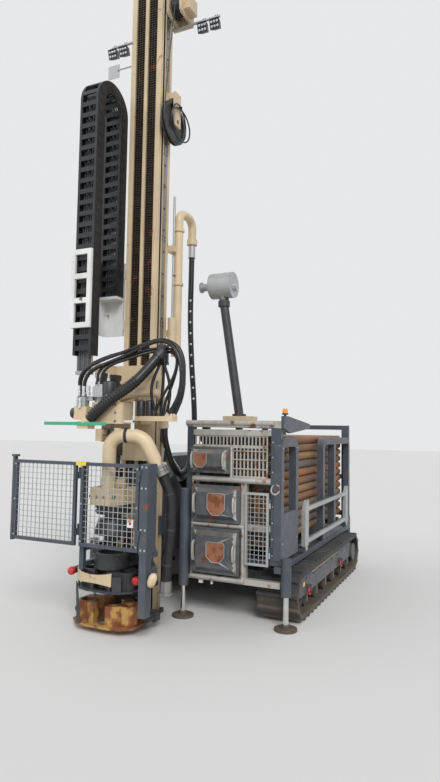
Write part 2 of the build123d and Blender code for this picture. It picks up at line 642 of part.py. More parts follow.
def jack_arm(x, y, hold):
    """The arm that carries a jack's tube on the deck or on the rack's end face."""
    near = JACK_RADIUS - JACK_WALL + 1
    if hold == "deck end":
        return block((x - 40, x + 40), (DECK_END + RUN_GAP, y - near), ARM_Z)
    if hold == "rack face":
        return block((x - 23, x + 23), (y + near, FACE[0] - RUN_GAP), (1010, 1130))
    side = -1 if x > MACHINE_X else 1
    elbow = x + side * (JACK_RADIUS + 60)
    arm = block(sorted((x + side * near, elbow)), (y - 30, y + 30), ARM_Z)
    return arm + block(sorted((x + side * (JACK_RADIUS + 4), elbow)), (y - 30, DECK_START - RUN_GAP), ARM_Z)


def jack_tubes():
    """The jacks' hollow housings, closed above and narrowed below round the rod."""
    solids = []
    for x, y, top, hold in JACKS:
        barrel = tube(JACK_RADIUS, JACK_WALL, (x, y, JACK_BOTTOM), top - JACK_BOTTOM)
        barrel += disc(JACK_RADIUS, (x, y, top - 20), 20)
        barrel += tube(JACK_RADIUS, JACK_RADIUS - JACK_ROD - 1, (x, y, JACK_BOTTOM), 24)
        solids.append(barrel + jack_arm(x, y, hold))
    return group(solids)


def jack_rod(x, y):
    """A jack's rod with its round foot on the ground."""
    rod = disc(PAD_RADIUS, (x, y, 0), PAD_THICKNESS)
    rod += disc(JACK_ROD + 14, (x, y, PAD_THICKNESS - 1), 30)
    return rod + disc(JACK_ROD, (x, y, PAD_THICKNESS), JACK_BOTTOM + 60 - PAD_THICKNESS)


# Cradle and tilt cylinder

MAST_BACK = MAST_FRONT + MAST_DEPTH
MAST_HALF = MAST_WIDTH / 2
CRADLE_FRONT = MAST_BACK + CRADLE_GAP
CRADLE_BACK = CRADLE_FRONT + CRADLE_DEPTH
CRADLE_HALF = CHEEK_INNER - MOVE_GAP - 1
CLAW_ZS = (770.0, 1680.0)
CLAW_HEIGHT = 180.0
ROD_PIN_Y = 776.0
ROD_PIN_Z = 1700.0
PIN_FIT = 0.05


def mast_cradle():
    """The swinging cradle behind the mast: webs, claws round the mast's rear flange, pivot and ears."""
    z = (CRADLE_BOTTOM, CRADLE_TOP)
    front = (CRADLE_FRONT, CRADLE_FRONT + 30)
    solids = [block((-CRADLE_HALF, CRADLE_HALF), front, z)]
    solids.append(block((-CRADLE_HALF, CRADLE_HALF), (front[0], CRADLE_BACK), (z[0], z[0] + 24)))
    solids.append(block((-CRADLE_HALF, CRADLE_HALF), (front[0], CRADLE_BACK), (z[1] - 24, z[1])))
    for side in (-1, 1):
        web = sorted((side * (CRADLE_HALF - 25), side * CRADLE_HALF))
        solids.append(block(web, (front[0], CRADLE_BACK), z))
        lug = sorted((side * (CRADLE_HALF - 50), side * CRADLE_HALF))
        neck = [(CRADLE_BACK - 30, TILT_Z - 150), (TILT_Y, TILT_Z - CHEEK_EYE + 2),
                (TILT_Y, TILT_Z + CHEEK_EYE - 2), (CRADLE_BACK - 30, TILT_Z + 150)]
        solids.append(plate_x(neck, lug))
        solids.append(disc(CHEEK_EYE, (lug[0], TILT_Y, TILT_Z), 50, "X"))
        ear = sorted((side * (EYE_HALF + 1), side * (EYE_HALF + 1 + EAR)))
        neck = [(front[1] - 1, ROD_PIN_Z - 120), (ROD_PIN_Y + 10, ROD_PIN_Z - 52),
                (ROD_PIN_Y + 10, ROD_PIN_Z + 52), (front[1] - 1, ROD_PIN_Z + 120)]
        solids.append(plate_x(neck, ear) + disc(52, (ear[0], ROD_PIN_Y, ROD_PIN_Z), EAR, "X"))
        for low in CLAW_ZS:
            claw = (low, low + CLAW_HEIGHT)
            outer = MAST_HALF + 26
            wide = sorted((side * (CRADLE_HALF - 10), side * outer))
            solids.append(block(wide, front, claw))
            arm = sorted((side * (MAST_HALF + 1), side * outer))
            hook = (MAST_BACK - RAIL_DEPTH - NECK_DEPTH + 1, MAST_BACK - RAIL_DEPTH - SLIDE_GAP)
            solids.append(block(arm, (hook[0], front[1]), claw))
            solids.append(block(sorted((side * (MAST_HALF - NECK_INSET + 1), side * outer)), hook, claw))
    cradle = Part() + solids
    cradle -= disc(CYLINDER_PIN, (-EYE_HALF - EAR - 2, ROD_PIN_Y, ROD_PIN_Z), 2 * (EYE_HALF + EAR + 2), "X")
    reach = CHEEK_INNER + CHEEK_THICKNESS
    return cradle + disc(TILT_PIN_RADIUS - PIN_FIT, (-reach, TILT_Y, TILT_Z), 2 * reach, "X")


def cylinder_plane(offset):
    """A plane across the tilt cylinder's axis, a distance from its base pin."""
    dy, dz = ROD_PIN_Y - CYLINDER_BASE_Y, ROD_PIN_Z - CYLINDER_BASE_Z
    length = math.hypot(dy, dz)
    origin = (0, CYLINDER_BASE_Y + dy * offset / length, CYLINDER_BASE_Z + dz * offset / length)
    return Plane(origin=origin, x_dir=(1, 0, 0), z_dir=(0, dy / length, dz / length))


CYLINDER_LENGTH = math.hypot(ROD_PIN_Y - CYLINDER_BASE_Y, ROD_PIN_Z - CYLINDER_BASE_Z)
BARREL_RADIUS = 62.0
BARREL_BORE = 52.0
BARREL_END = 862.0
PISTON_ROD = 34.0
PISTON_ROD_LENGTH = 815.0


def along_cylinder(radius, start, end):
    return extrude(cylinder_plane(start) * Circle(radius), end - start)


def tilt_barrel():
    barrel = along_cylinder(BARREL_RADIUS, 72, BARREL_END) - along_cylinder(BARREL_BORE, 92, BARREL_END)
    barrel += along_cylinder(BARREL_BORE + 1, BARREL_END - 30, BARREL_END)
    barrel -= along_cylinder(PISTON_ROD + 1, BARREL_END - 31, BARREL_END)
    eye = disc(55, (-EYE_HALF, CYLINDER_BASE_Y, CYLINDER_BASE_Z), 2 * EYE_HALF, "X")
    barrel += eye + along_cylinder(EYE_HALF, 0, 80)
    reach = EYE_HALF + EAR + 1
    return barrel + disc(CYLINDER_PIN - PIN_FIT, (-reach, CYLINDER_BASE_Y, CYLINDER_BASE_Z), 2 * reach, "X")


def tilt_rod():
    """The rod with its piston and its eye, which sits between the cradle's ears."""
    rod = along_cylinder(PISTON_ROD, CYLINDER_LENGTH - PISTON_ROD_LENGTH, CYLINDER_LENGTH - 30)
    rod += along_cylinder(BARREL_BORE - 1, CYLINDER_LENGTH - PISTON_ROD_LENGTH,
                          CYLINDER_LENGTH - PISTON_ROD_LENGTH + 24)
    return rod + disc(48, (-EYE_HALF, ROD_PIN_Y, ROD_PIN_Z), 2 * EYE_HALF, "X")


# Mast

FOOT_TOP = 40.0


def mast_half_outline():
    """The right half of the mast's section as (x, y), from the front rib round to the back."""
    flange = MAST_FRONT + RAIL_DEPTH
    rear = MAST_BACK - RAIL_DEPTH
    inset = MAST_HALF - NECK_INSET
    return [(RIB_WIDTH / 2, MAST_FRONT), (RIB_WIDTH / 2, MAST_FRONT + CHANNEL_DEPTH),
            (MAST_HALF - RAIL_WIDTH, MAST_FRONT + CHANNEL_DEPTH), (MAST_HALF - RAIL_WIDTH, MAST_FRONT),
            (MAST_HALF, MAST_FRONT), (MAST_HALF, flange), (inset, flange), (inset, flange + NECK_DEPTH),
            (MAST_HALF, flange + NECK_DEPTH), (MAST_HALF, rear - NECK_DEPTH), (inset, rear - NECK_DEPTH),
            (inset, rear), (MAST_HALF, rear), (MAST_HALF, MAST_BACK)]


def mast():
    """A hollow box beam with two chain channels in its front and guide flanges on its edges."""
    half = mast_half_outline()
    outline = half + [(-x, y) for x, y in reversed(half)]
    beam = plate_z(outline, (FOOT_TOP, MAST_TOP))
    hollow = ((-MAST_HALF + NECK_INSET + MAST_WALL, MAST_HALF - NECK_INSET - MAST_WALL),
              (MAST_FRONT + CHANNEL_DEPTH + MAST_WALL, MAST_BACK - MAST_WALL))
    beam -= block(*hollow, (FOOT_TOP + 60, MAST_TOP + 1))
    strip = (MAST_HALF, MAST_HALF + STRIP)
    beam += block(strip, (MAST_FRONT + RAIL_DEPTH + NECK_DEPTH + 4, MAST_BACK - RAIL_DEPTH - NECK_DEPTH - 4),
                  (CRADLE_TOP + SHIFT_TRAVEL, MAST_TOP - 40))
    foot = block((-MAST_HALF - 20, MAST_HALF + 20), (MAST_FRONT - 60, MAST_BACK + 40), (0, FOOT_TOP))
    return beam + foot


def feed_chains():
    """Two feed chains in the mast's channels, each a strip with a tooth for every link."""
    width = MAST_HALF - RAIL_WIDTH - RIB_WIDTH / 2 - 12
    pitch = 127.0
    low, high = FOOT_TOP + 560, MAST_TOP - 60
    teeth = int((high - low) / pitch)
    back = MAST_FRONT + CHANNEL_DEPTH - RUN_GAP
    points = [(back, low), (back, low + teeth * pitch)]
    for i in reversed(range(teeth)):
        z = low + i * pitch
        points += [(MAST_FRONT + 22, z + pitch), (MAST_FRONT + 22, z + 0.45 * pitch),
                   (MAST_FRONT + 38, z + 0.45 * pitch), (MAST_FRONT + 38, z)]
    solids = []
    for side in (-1, 1):
        near = side * (RIB_WIDTH / 2 + 6)
        solids.append(plate_x(points, sorted((near, near + side * width))))
    return group(solids)


def mast_head():
    """The head plate that closes the mast, with the crown sheave's cheeks and the lamp pole's seat."""
    z = MAST_TOP + RUN_GAP
    head = block((-MAST_HALF - 30, MAST_HALF + 30), (MAST_FRONT - 40, MAST_BACK + 60), (z, z + 30))
    for x in (-CROWN_HALF - 22, CROWN_HALF):
        cheek = [(MAST_FRONT - 30, z + 29), (MAST_BACK + 40, z + 29), (CROWN_Y + 50, CROWN_Z + 60),
                 (CROWN_Y - 50, CROWN_Z + 60)]
        head += plate_x(cheek, (x, x + 22))
        head -= disc(CROWN_AXLE, (x, CROWN_Y, CROWN_Z), 22, "X")
    return head


CROWN_HALF = 46.0
CROWN_Y = MAST_FRONT + MAST_DEPTH / 2
CROWN_Z = MAST_TOP + 190.0
CROWN_RADIUS = 140.0
CROWN_AXLE = 22.0


def sheave(x, y, z, radius, half, axle, reach):
    """A grooved rope sheave on its axle, turning about X."""
    wheel = disc(radius, (x - half, y, z), 2 * half, "X")
    groove = tube(radius + 1, 22, (x - half * 0.45, y, z), half * 0.9, "X")
    dish = tube(radius - 34, radius - 34 - axle * 2, (x - half, y, z), half * 0.7, "X")
    wheel -= [groove, dish, Pos(2 * half - half * 0.7, 0, 0) * dish]
    return wheel + disc(axle - PIN_FIT, (x - reach, y, z), 2 * reach, "X")


def crown_sheave():
    return sheave(0, CROWN_Y, CROWN_Z, CROWN_RADIUS, CROWN_HALF - MOVE_GAP, CROWN_AXLE, CROWN_HALF + 22)


STRIP = 10.0
WINCH_X = (MAST_HALF + STRIP + 2.0, 366.0)
WINCH_Y = 560.0
WINCH_Z = 6230.0
WINCH_DRUM = 78.0
WINCH_FLANGE = 115.0


def winch_frame():
    """The service winch's housing on the mast's right side: two cheeks, a gearbox and a back plate."""
    low, high = WINCH_X
    solids = [block((low - 60, high), (WINCH_Y + 125, WINCH_Y + 150), (WINCH_Z - 150, WINCH_Z + 150))]
    for x in (low, high - 24):
        cheek = block((x, x + 24), (WINCH_Y - 130, WINCH_Y + 126), (WINCH_Z - 140, WINCH_Z + 140))
        cheek -= disc(CROWN_AXLE, (x, WINCH_Y, WINCH_Z), 24, "X")
        solids.append(fillet(cheek.edges().filter_by(Axis.X), 40))
    box = block((high, high + 70), (WINCH_Y - 80, WINCH_Y + 90), (WINCH_Z - 90, WINCH_Z + 60))
    solids.append(box - disc(CROWN_AXLE + 4, (high - 1, WINCH_Y, WINCH_Z), 40, "X"))
    solids.append(block((MAST_HALF + STRIP + RUN_GAP, low + 1), (WINCH_Y - 60, WINCH_Y + 30), (WINCH_Z - 90, WINCH_Z + 90)))
    frame = Part() + solids
    return frame - disc(CROWN_AXLE, (low - 2, WINCH_Y, WINCH_Z), 30, "X")


def winch_drum():
    low, high = WINCH_X[0] + 24 + 2, WINCH_X[1] - 24 - 2
    drum = disc(WINCH_DRUM, (low, WINCH_Y, WINCH_Z), high - low, "X")
    for x in (low, high - 12):
        drum += disc(WINCH_FLANGE, (x, WINCH_Y, WINCH_Z), 12, "X")
    return drum + disc(CROWN_AXLE - PIN_FIT, (WINCH_X[0], WINCH_Y, WINCH_Z), WINCH_X[1] - WINCH_X[0], "X")


ROPE_X = 252.0
ROPE_Y = 520.0
ROPE_Z = 4960.0
ROPE_RADIUS = 218.0
ROPE_HALF = 22.0


def rope_guide():
    """The bracket that carries the rope sheave on the mast's right side."""
    solids = []
    inner = (MAST_HALF + STRIP + RUN_GAP, ROPE_X - ROPE_HALF - MOVE_GAP)
    outer = (ROPE_X + ROPE_HALF + MOVE_GAP, ROPE_X + ROPE_HALF + MOVE_GAP + 24)
    solids.append(block(inner, (ROPE_Y - 70, ROPE_Y - 10), (ROPE_Z - 90, ROPE_Z + 300)))
    solids.append(disc(60, (inner[0], ROPE_Y, ROPE_Z), inner[1] - inner[0], "X"))
    guard = plate_x([(ROPE_Y - 60, ROPE_Z - 50), (ROPE_Y + 60, ROPE_Z - 50), (ROPE_Y + 60, ROPE_Z + 300),
                     (ROPE_Y - 60, ROPE_Z + 300)], outer)
    top = block((inner[0], outer[1]), (ROPE_Y - 50, ROPE_Y + 20), (ROPE_Z + 240, ROPE_Z + 300))
    bracket = Part() + solids + guard + top
    return bracket - disc(CROWN_AXLE, (inner[0] + 12, ROPE_Y, ROPE_Z), outer[1] - inner[0], "X")


def rope_sheave():
    inner = MAST_HALF + STRIP + RUN_GAP + 12
    outer = ROPE_X + ROPE_HALF + MOVE_GAP + 24
    wheel = sheave(ROPE_X, ROPE_Y, ROPE_Z, ROPE_RADIUS, ROPE_HALF, CROWN_AXLE, 1)
    return wheel + disc(CROWN_AXLE - PIN_FIT, (inner, ROPE_Y, ROPE_Z), outer - inner, "X")


LAMP_Z = 6060.0
LAMP_Y = MAST_BACK + 40.0
LAMP_REACH = 620.0


def work_lights():
    """A pole across the mast's back with a pair of lamps at each end."""
    lights = disc(14, (-LAMP_REACH, LAMP_Y, LAMP_Z), LAMP_REACH * 2 + 90, "X")
    lights += block((-60, 60), (MAST_BACK + RUN_GAP, LAMP_Y + 1), (LAMP_Z - 40, LAMP_Z + 40))
    for x in (-LAMP_REACH + 40, -LAMP_REACH + 180, LAMP_REACH - 90, LAMP_REACH + 50):
        lights += disc(9, (x, LAMP_Y, LAMP_Z - 60), 60)
        lens = Plane(origin=(x, LAMP_Y - 46, LAMP_Z - 100), x_dir=(1, 0, 0), z_dir=(0, -1, -0.35))
        lights += extrude(lens * RectangleRounded(108, 108, 16), -80, taper=12)
    return lights


PIPE_X = 245.0
PIPE_Y = 700.0
PIPE_RADIUS = 44.0
PIPE_FOOT = 2560.0
PIPE_TOP = 3960.0
GOOSE_RADIUS = 120.0
GOOSE_REACH = 1000.0
GOOSE_END = PIPE_TOP + GOOSE_RADIUS - 262.0
BOTTLE_Y = 592.0
BOTTLE_RADIUS = 44.0
BOTTLE_HEIGHT = 290.0


def pipe_along(points, radius, bend):
    """A pipe along straight runs joined by bends."""
    path = FilletPolyline(*points, radius=bend)
    start = path @ 0
    return sweep(Plane(origin=start, z_dir=path % 0) * Circle(radius), path)


def standpipe():
    """The beige standpipe behind the mast's right edge, its gooseneck and the thin pole beside it."""
    top = PIPE_TOP + GOOSE_RADIUS
    pipe = pipe_along([(PIPE_X, PIPE_Y, PIPE_FOOT), (PIPE_X, PIPE_Y, top), (PIPE_X, GOOSE_REACH, top + 20),
                       (PIPE_X, GOOSE_REACH, top - 260)], PIPE_RADIUS, [110, 110])
    for z in (PIPE_FOOT, PIPE_TOP - 660, PIPE_TOP - 90):
        pipe += disc(PIPE_RADIUS + 14, (PIPE_X, PIPE_Y, z), 26)
    pipe += disc(PIPE_RADIUS + 12, (PIPE_X, GOOSE_REACH, GOOSE_END), 60)
    for z in (PIPE_FOOT + 200, PIPE_TOP - 320):
        pipe += block((MAST_HALF - 20, PIPE_X), (MAST_BACK + RUN_GAP, PIPE_Y), (z, z + 60))
    pole = (PIPE_FOOT + 300, PIPE_TOP + 280)
    pipe += disc(13, (PIPE_X - 36, PIPE_Y - 40, pole[0]), pole[1] - pole[0])
    pipe += disc(BOTTLE_RADIUS, (PIPE_X, BOTTLE_Y, PIPE_FOOT + 90), BOTTLE_HEIGHT)
    for z in (PIPE_FOOT + 140, PIPE_FOOT + 300):
        pipe += block((PIPE_X - 18, PIPE_X + 18), (BOTTLE_Y, PIPE_Y), (z, z + 30))
    return pipe


# Energy chain

CHAIN_BEND = (CHAIN_SPREAD - CHAIN_THICKNESS) / 2
CHAIN_CENTRE_Y = CHAIN_FRONT + CHAIN_SPREAD / 2
CHAIN_CENTRE_Z = CHAIN_TOP - CHAIN_SPREAD / 2
CHAIN_SIDES = (CHAIN_X - CHAIN_WIDTH / 2, CHAIN_X + CHAIN_WIDTH / 2)


def chain_band(outer, inner, x):
    """An upturned U across X, between an outer and an inner half circle."""
    band = block(x, (CHAIN_CENTRE_Y - outer, CHAIN_CENTRE_Y), (CHAIN_FOOT, CHAIN_CENTRE_Z))
    band += block(x, (CHAIN_CENTRE_Y, CHAIN_CENTRE_Y + outer), (CHAIN_BACK_FOOT, CHAIN_CENTRE_Z))
    band += disc(outer, (x[0], CHAIN_CENTRE_Y, CHAIN_CENTRE_Z), x[1] - x[0], "X")
    band -= block((x[0] - 1, x[1] + 1), (CHAIN_CENTRE_Y - inner, CHAIN_CENTRE_Y + inner),
                  (CHAIN_FOOT - 1, CHAIN_CENTRE_Z))
    return band - disc(inner, (x[0] - 1, CHAIN_CENTRE_Y, CHAIN_CENTRE_Z), x[1] - x[0] + 2, "X")


def energy_chain():
    """Two side bands joined by a bar on each face of every link."""
    outer = CHAIN_SPREAD / 2
    inner = outer - CHAIN_THICKNESS
    chain = Part()
    for x in (CHAIN_SIDES[0], CHAIN_SIDES[1] - CHAIN_PLATE):
        chain += chain_band(outer, inner, (x, x + CHAIN_PLATE))
    bars = []
    across = (CHAIN_SIDES[0] + 2, CHAIN_SIDES[1] - 2)
    for sign, foot in ((-1, CHAIN_FOOT), (1, CHAIN_BACK_FOOT)):
        links = int((CHAIN_CENTRE_Z - foot) / CHAIN_PITCH)
        for i in range(links):
            z = CHAIN_CENTRE_Z - (i + 0.5) * CHAIN_PITCH
            for near, far in ((outer - 1, outer - 15), (inner + 1, inner + 15)):
                y = sorted((CHAIN_CENTRE_Y + sign * near, CHAIN_CENTRE_Y + sign * far))
                bars.append(block(across, y, (z - CHAIN_BAR / 2, z + CHAIN_BAR / 2)))
    turns = round(math.pi * (outer - CHAIN_THICKNESS / 2) / CHAIN_PITCH)
    for i in range(turns):
        angle = 180 * (i + 0.5) / turns
        for radius in (outer - 8, inner + 8):
            bar = block(across, (radius - 7, radius + 7), (-CHAIN_BAR / 2, CHAIN_BAR / 2))
            bars.append(Pos(0, CHAIN_CENTRE_Y, CHAIN_CENTRE_Z) * Rot(angle, 0, 0) * bar)
    return chain + bars


def chain_guide():
    """The pale window frame before the chain's front run and the trough that holds its back run."""
    y = (CHAIN_FRONT - 34, CHAIN_FRONT - MOVE_GAP)
    x = (CHAIN_SIDES[0] - 20, CHAIN_SIDES[1] + 2)
    z = (CHAIN_FOOT + 260, CHAIN_FOOT + 1020)
    frame = block(x, y, z)
    for i in range(3):
        low = z[0] + 50 + i * 237
        frame -= block((x[0] + 45, x[1] - 45), (y[0] - 1, y[1] + 1), (low, low + 187))
    side = (CHAIN_SIDES[0] - 20, CHAIN_SIDES[0] - MOVE_GAP)
    back_y = CHAIN_FRONT + CHAIN_SPREAD
    frame += block(side, (y[0], back_y + 30), z)
    frame += block((side[0], CHAIN_SIDES[1]), (back_y + MOVE_GAP, back_y + 30), z)
    arm = (CHAIN_SIDES[1] - 10, -MAST_HALF - RUN_GAP)
    for low in (z[0] + 60, z[1] - 160):
        frame += block(arm, (back_y + MOVE_GAP + 6, back_y + 60), (low, low + 100))
    foot = (CHAIN_BACK_FOOT - 30, CHAIN_BACK_FOOT - RUN_GAP)
    return frame + block((side[0], CHAIN_SIDES[1]), (back_y - CHAIN_THICKNESS, back_y + 30), foot)


# Heads on the mast

CARRIAGE_Z = (1500.0, 2430.0)
CARRIAGE_PLATE = (MAST_FRONT - 66.0, MAST_FRONT - MOVE_GAP)
CARRIAGE_HALF = 214.0
HEAD_Z = (1850.0, 2045.0)
SPINDLE_BORE = 45.0


def claws(z_low, height, plate):
    """A pair of claws that grip the mast's front flange at one height."""
    solids = []
    hook = (MAST_FRONT + RAIL_DEPTH + SLIDE_GAP, MAST_FRONT + RAIL_DEPTH + NECK_DEPTH - 1)
    z = (z_low, z_low + height)
    for side in (-1, 1):
        outer = side * CARRIAGE_HALF
        solids.append(block(sorted((side * (MAST_HALF + 2), outer)), (plate[0], hook[1]), z))
        solids.append(block(sorted((side * (MAST_HALF - NECK_INSET + 1), outer)), hook, z))
    return solids


def head_carriage():
    """The plate that slides on the mast's front, with claws, side cheeks and a chain anchor."""
    plate = block((-CARRIAGE_HALF, CARRIAGE_HALF), CARRIAGE_PLATE, CARRIAGE_Z)
    low, high = CARRIAGE_Z
    carriage = plate + claws(low, 150, CARRIAGE_PLATE) + claws(high - 150, 150, CARRIAGE_PLATE)
    for side in (-1, 1):
        cheek = [(CARRIAGE_PLATE[0] + 1, HEAD_Z[0]), (CARRIAGE_PLATE[0] + 1, HEAD_Z[1] + 260),
                 (120, HEAD_Z[1] + 8), (120, HEAD_Z[0])]
        near = side * 200
        carriage += plate_x(cheek, sorted((near, near - side * 24)))
    carriage += block((-238, -CARRIAGE_HALF + 1), (-60, CARRIAGE_PLATE[1]), (high - 90, high))
    inner = CARRIAGE_PLATE[0] + 1
    arm = [(150, inner), (CARRIAGE_HALF, inner), (384, 120), (JOINT_X[1], 120), (JOINT_X[1], 84),
           (366, 84), (150, 250)]
    carriage += plate_z(arm, (high - 30, high))
    carriage += block((JOINT_X[1] - 50, JOINT_X[1]), (84, JOINT_Y[1]), (high - 1, JOINT_Z[0] + 1))
    carriage += block(JOINT_X, JOINT_Y, JOINT_Z)
    return carriage + bar(*RIBBED_SEATS[1], RIBBED_HOSE / 2 + 6)


def upper_head():
    """The upper rotary head: gearbox, motors, valve blocks, and the swivel with its bent outlet."""
    low, top = HEAD_Z
    box = block((-170, 170), (HEAD_FRONT, CARRIAGE_PLATE[0] - RUN_GAP), HEAD_Z)
    box = fillet(box.edges().filter_by(Axis.Z).group_by(Axis.Y)[0], 50)
    box += block((-120, 110), (-50, 130), (low - 50, low + 1))
    box += plate_z([(-150, -100), (-90, -160), (-38, -160), (-38, -56), (60, -56), (110, -38), (110, 130),
                    (-120, 130), (-150, 60)], (low - 160, low - 49))
    box -= disc(UPPER_SPINDLE + SLIDE_GAP, (0, 0, low - 51), 120)
    box -= disc(SHOULDER + MOVE_GAP, (0, 0, low - 161), 161 - 50)
    for x, y, radius in MOTORS:
        box += disc(radius, (x, y, top - 1), 190) + disc(radius - 16, (x, y, top + 188), 60)
        box += block((x - 38, x + 38), (y - 55, y + 55), (top + 225, top + 275))
    box += block((-310, -169), (-222, -136), (1885, 2004)) + block(*VALVE_BLOCK)
    box += block((-230, -110), (-275, HEAD_FRONT + 1), (low - 50, low + 20))
    box += bar(*RIBBED_SEATS[0], RIBBED_HOSE / 2 + 6)
    box += block((169, 600), (10, 100), (1880, 1925))
    for seat in ARCH_SEATS:
        box += bar(*seat, ARCH_HOSE / 2 + 5)
    box += disc(SWIVEL, (0, 0, top - 1), 96) + disc(SWIVEL - 16, (0, 0, top + 94), 40)
    end, knee = seats("rotary_hose", 0, OUTLET_RUN)[1]
    outlet = [(0, 0, top + 38), (215, 50, knee[2]), knee, end]
    box += pipe_along(outlet, OUTLET_RADIUS, [130, 104])
    return box + bar(*seats("rotary_hose", 0, OUTLET_SLEEVE)[1], OUTLET_RADIUS + 4)


HEAD_FRONT = -170.0
SHOULDER = 72.0
SWIVEL = 56.0
MOTORS = ((-100.0, -95.0, 62.0), (-98.0, 112.0, 66.0))       # x, y, radius
VALVE_BLOCK = ((-300.0, -196.0), (-214.0, -146.0), (2003.0, 2090.0))
OUTLET_RADIUS = 42.0
OUTLET_X = 348.0
OUTLET_Y = 300.0
OUTLET_END = 1823.0
OUTLET_RUN = 332.0
OUTLET_SLEEVE = 123.0


UPPER_SPINDLE = 55.0


def upper_spindle():
    """The turning shaft below the upper head, with a tapered shoulder and a rod socket."""
    top = HEAD_Z[0] + 60
    shaft = disc(UPPER_SPINDLE, (0, 0, SPINDLE_FOOT), top - SPINDLE_FOOT)
    shaft += disc(SHOULDER, (0, 0, 1560), HEAD_Z[0] - 50 - MOVE_GAP - 1560)
    return shaft - disc(SPINDLE_BORE, (0, 0, SPINDLE_FOOT - 1), 130)


LOWER_PLATE = (MAST_FRONT - 66.0, MAST_FRONT - MOVE_GAP)
LOWER_Z = (900.0, 1250.0)
LOWER_BOX = (1120.0, 1270.0)
LOWER_COVER = 79.0       # the box's top cover, above the box
SPINDLE_FOOT = LOWER_BOX[1] + 130


def lower_head():
    """The lower head: slide plate, gearbox, ribbed collar, discharge bell and the big gooseneck."""
    plate = block((-CARRIAGE_HALF, CARRIAGE_HALF), LOWER_PLATE, LOWER_Z) + claws(LOWER_Z[0], 120, LOWER_PLATE)
    plate += claws(LOWER_Z[1] - 120, 120, LOWER_PLATE)
    half = [(170, LOWER_PLATE[0] + 1), (170, -80), (110, -206)]
    outline = half + [(-x, y) for x, y in reversed(half)]
    box = plate_z(outline, LOWER_BOX)
    box += disc(150, (0, 0, LOWER_BOX[0] - 90), 91)
    for i in range(2):
        box += disc(162, (0, 0, LOWER_BOX[0] - 76 + i * 42), 16)
    for x in (-100, 100):
        box += disc(60, (x, 190, LOWER_BOX[1] - 1), 150)
    box += disc(118, (0, 0, LOWER_BOX[1] - 1), LOWER_COVER + 1)
    neck = pipe_along(NECK, GOOSENECK_RADIUS, [130, 150]) + disc(34, (110, -122, NECK[1][2]), 68)
    neck += bar(NECK[-1], COUPLING_END, GOOSENECK_RADIUS + 8)
    for reach in (0, COUPLING - 22):
        neck += bar(beyond(*NECK[-2:], reach), beyond(*NECK[-2:], reach + 22), GOOSENECK_RADIUS + 18)
    foot = LOWER_BOX[0] - 100
    bore = disc(LOWER_BORE, (0, 0, foot), LOWER_BOX[1] + LOWER_COVER + 1 - foot)
    return plate + (box - bore) + (neck - bore)


LOWER_BORE = 76.0
GOOSENECK_RADIUS = 62.0
NECK = ((40.0, -140.0, LOWER_BOX[1] - 60), (40.0, -140.0, 1745.0), (345.0, -60.0, 1745.0), (465.0, 0.0, 1480.0))
COUPLING = 95.0
COUPLING_END = beyond(*NECK[-2:], COUPLING)


def lower_spindle():
    """The hollow lower spindle with its flared bell."""
    top = LOWER_BOX[1] + 60
    low = 790.0
    sleeve = disc(LOWER_BORE - SLIDE_GAP, (0, 0, low), top - low)
    bell = Pos(0, 0, 860) * Cone(168, 130, 120, align=(Align.CENTER, Align.CENTER, Align.MIN))
    sleeve += bell + disc(168, (0, 0, 845), 16)
    return sleeve - disc(UPPER_SPINDLE + 4, (0, 0, low - 1), top - low + 2)


# Hoses that hang free

ROTARY_HOSE = 60.0
DISCHARGE_HOSE = 96.0
RIBBED_HOSE = 96.0
ARCH_HOSE = 34.0
JOINT_X = (418.0, 490.0)
JOINT_Y = (22.0, 112.0)
JOINT_Z = (2500.0, 2580.0)
ROUTES = {                   # hose: diameter, points of its route
    "rotary_hose": (ROTARY_HOSE, [
        (PIPE_X, GOOSE_REACH, GOOSE_END), (PIPE_X, GOOSE_REACH, 3480), (247, 985, 3000), (248, 1040, 2500),
        (252, 1110, 2100), (258, 1120, 1780), (266, 1050, 1530), (280, 900, 1370), (300, 700, 1350),
        (322, 530, 1450), (340, 400, 1590), (348, 320, 1715), (OUTLET_X, OUTLET_Y, OUTLET_END)]),
    "discharge_hose": (DISCHARGE_HOSE, [
        COUPLING_END, beyond(*NECK[-2:], COUPLING + 135), (580, 54, 1130), (580, 50, 950), (566, 52, 770),
        (550, 46, 610), (550, 46, 470)]),
    "ribbed_hose": (RIBBED_HOSE, [
        (-120, -232, 1890), (60, -236, 2050), (250, -140, 2190), (345, -50, 2325), (420, 32, 2464)]),
    "arch_hose_outer": (ARCH_HOSE, [
        (-276, -181, 2116), (-282, -182, 2215), (-250, -178, 2325), (-160, -160, 2405), (-30, -120, 2465),
        (120, -60, 2512), (270, 10, 2580), (400, 75, 2624), (500, 88, 2622), (600, 94, 2566),
        (652, 96, 2462), (664, 96, 2330), (662, 94, 2180), (636, 92, 2056), (590, 70, 1945)]),
    "arch_hose_inner": (ARCH_HOSE, [
        (-228, -181, 2116), (-233, -184, 2200), (-205, -186, 2290), (-125, -178, 2355), (-5, -145, 2405),
        (130, -95, 2465), (265, -35, 2545), (385, 25, 2610), (485, 40, 2614), (575, 42, 2560),
        (640, 38, 2460), (670, 34, 2330), (668, 32, 2190), (625, 34, 2055), (545, 38, 1950)]),
}


def seats(name, first, last):
    """The two short runs, before and after a hose, in which its ends are held."""
    points = ROUTES[name][1]
    return ((beyond(points[1], points[0], first), points[0]),
            (points[-1], beyond(points[-2], points[-1], last)))


RIBBED_SEATS = seats("ribbed_hose", 60, 70)
ARCH_SEATS = seats("arch_hose_outer", 30, 50) + seats("arch_hose_inner", 30, 50)


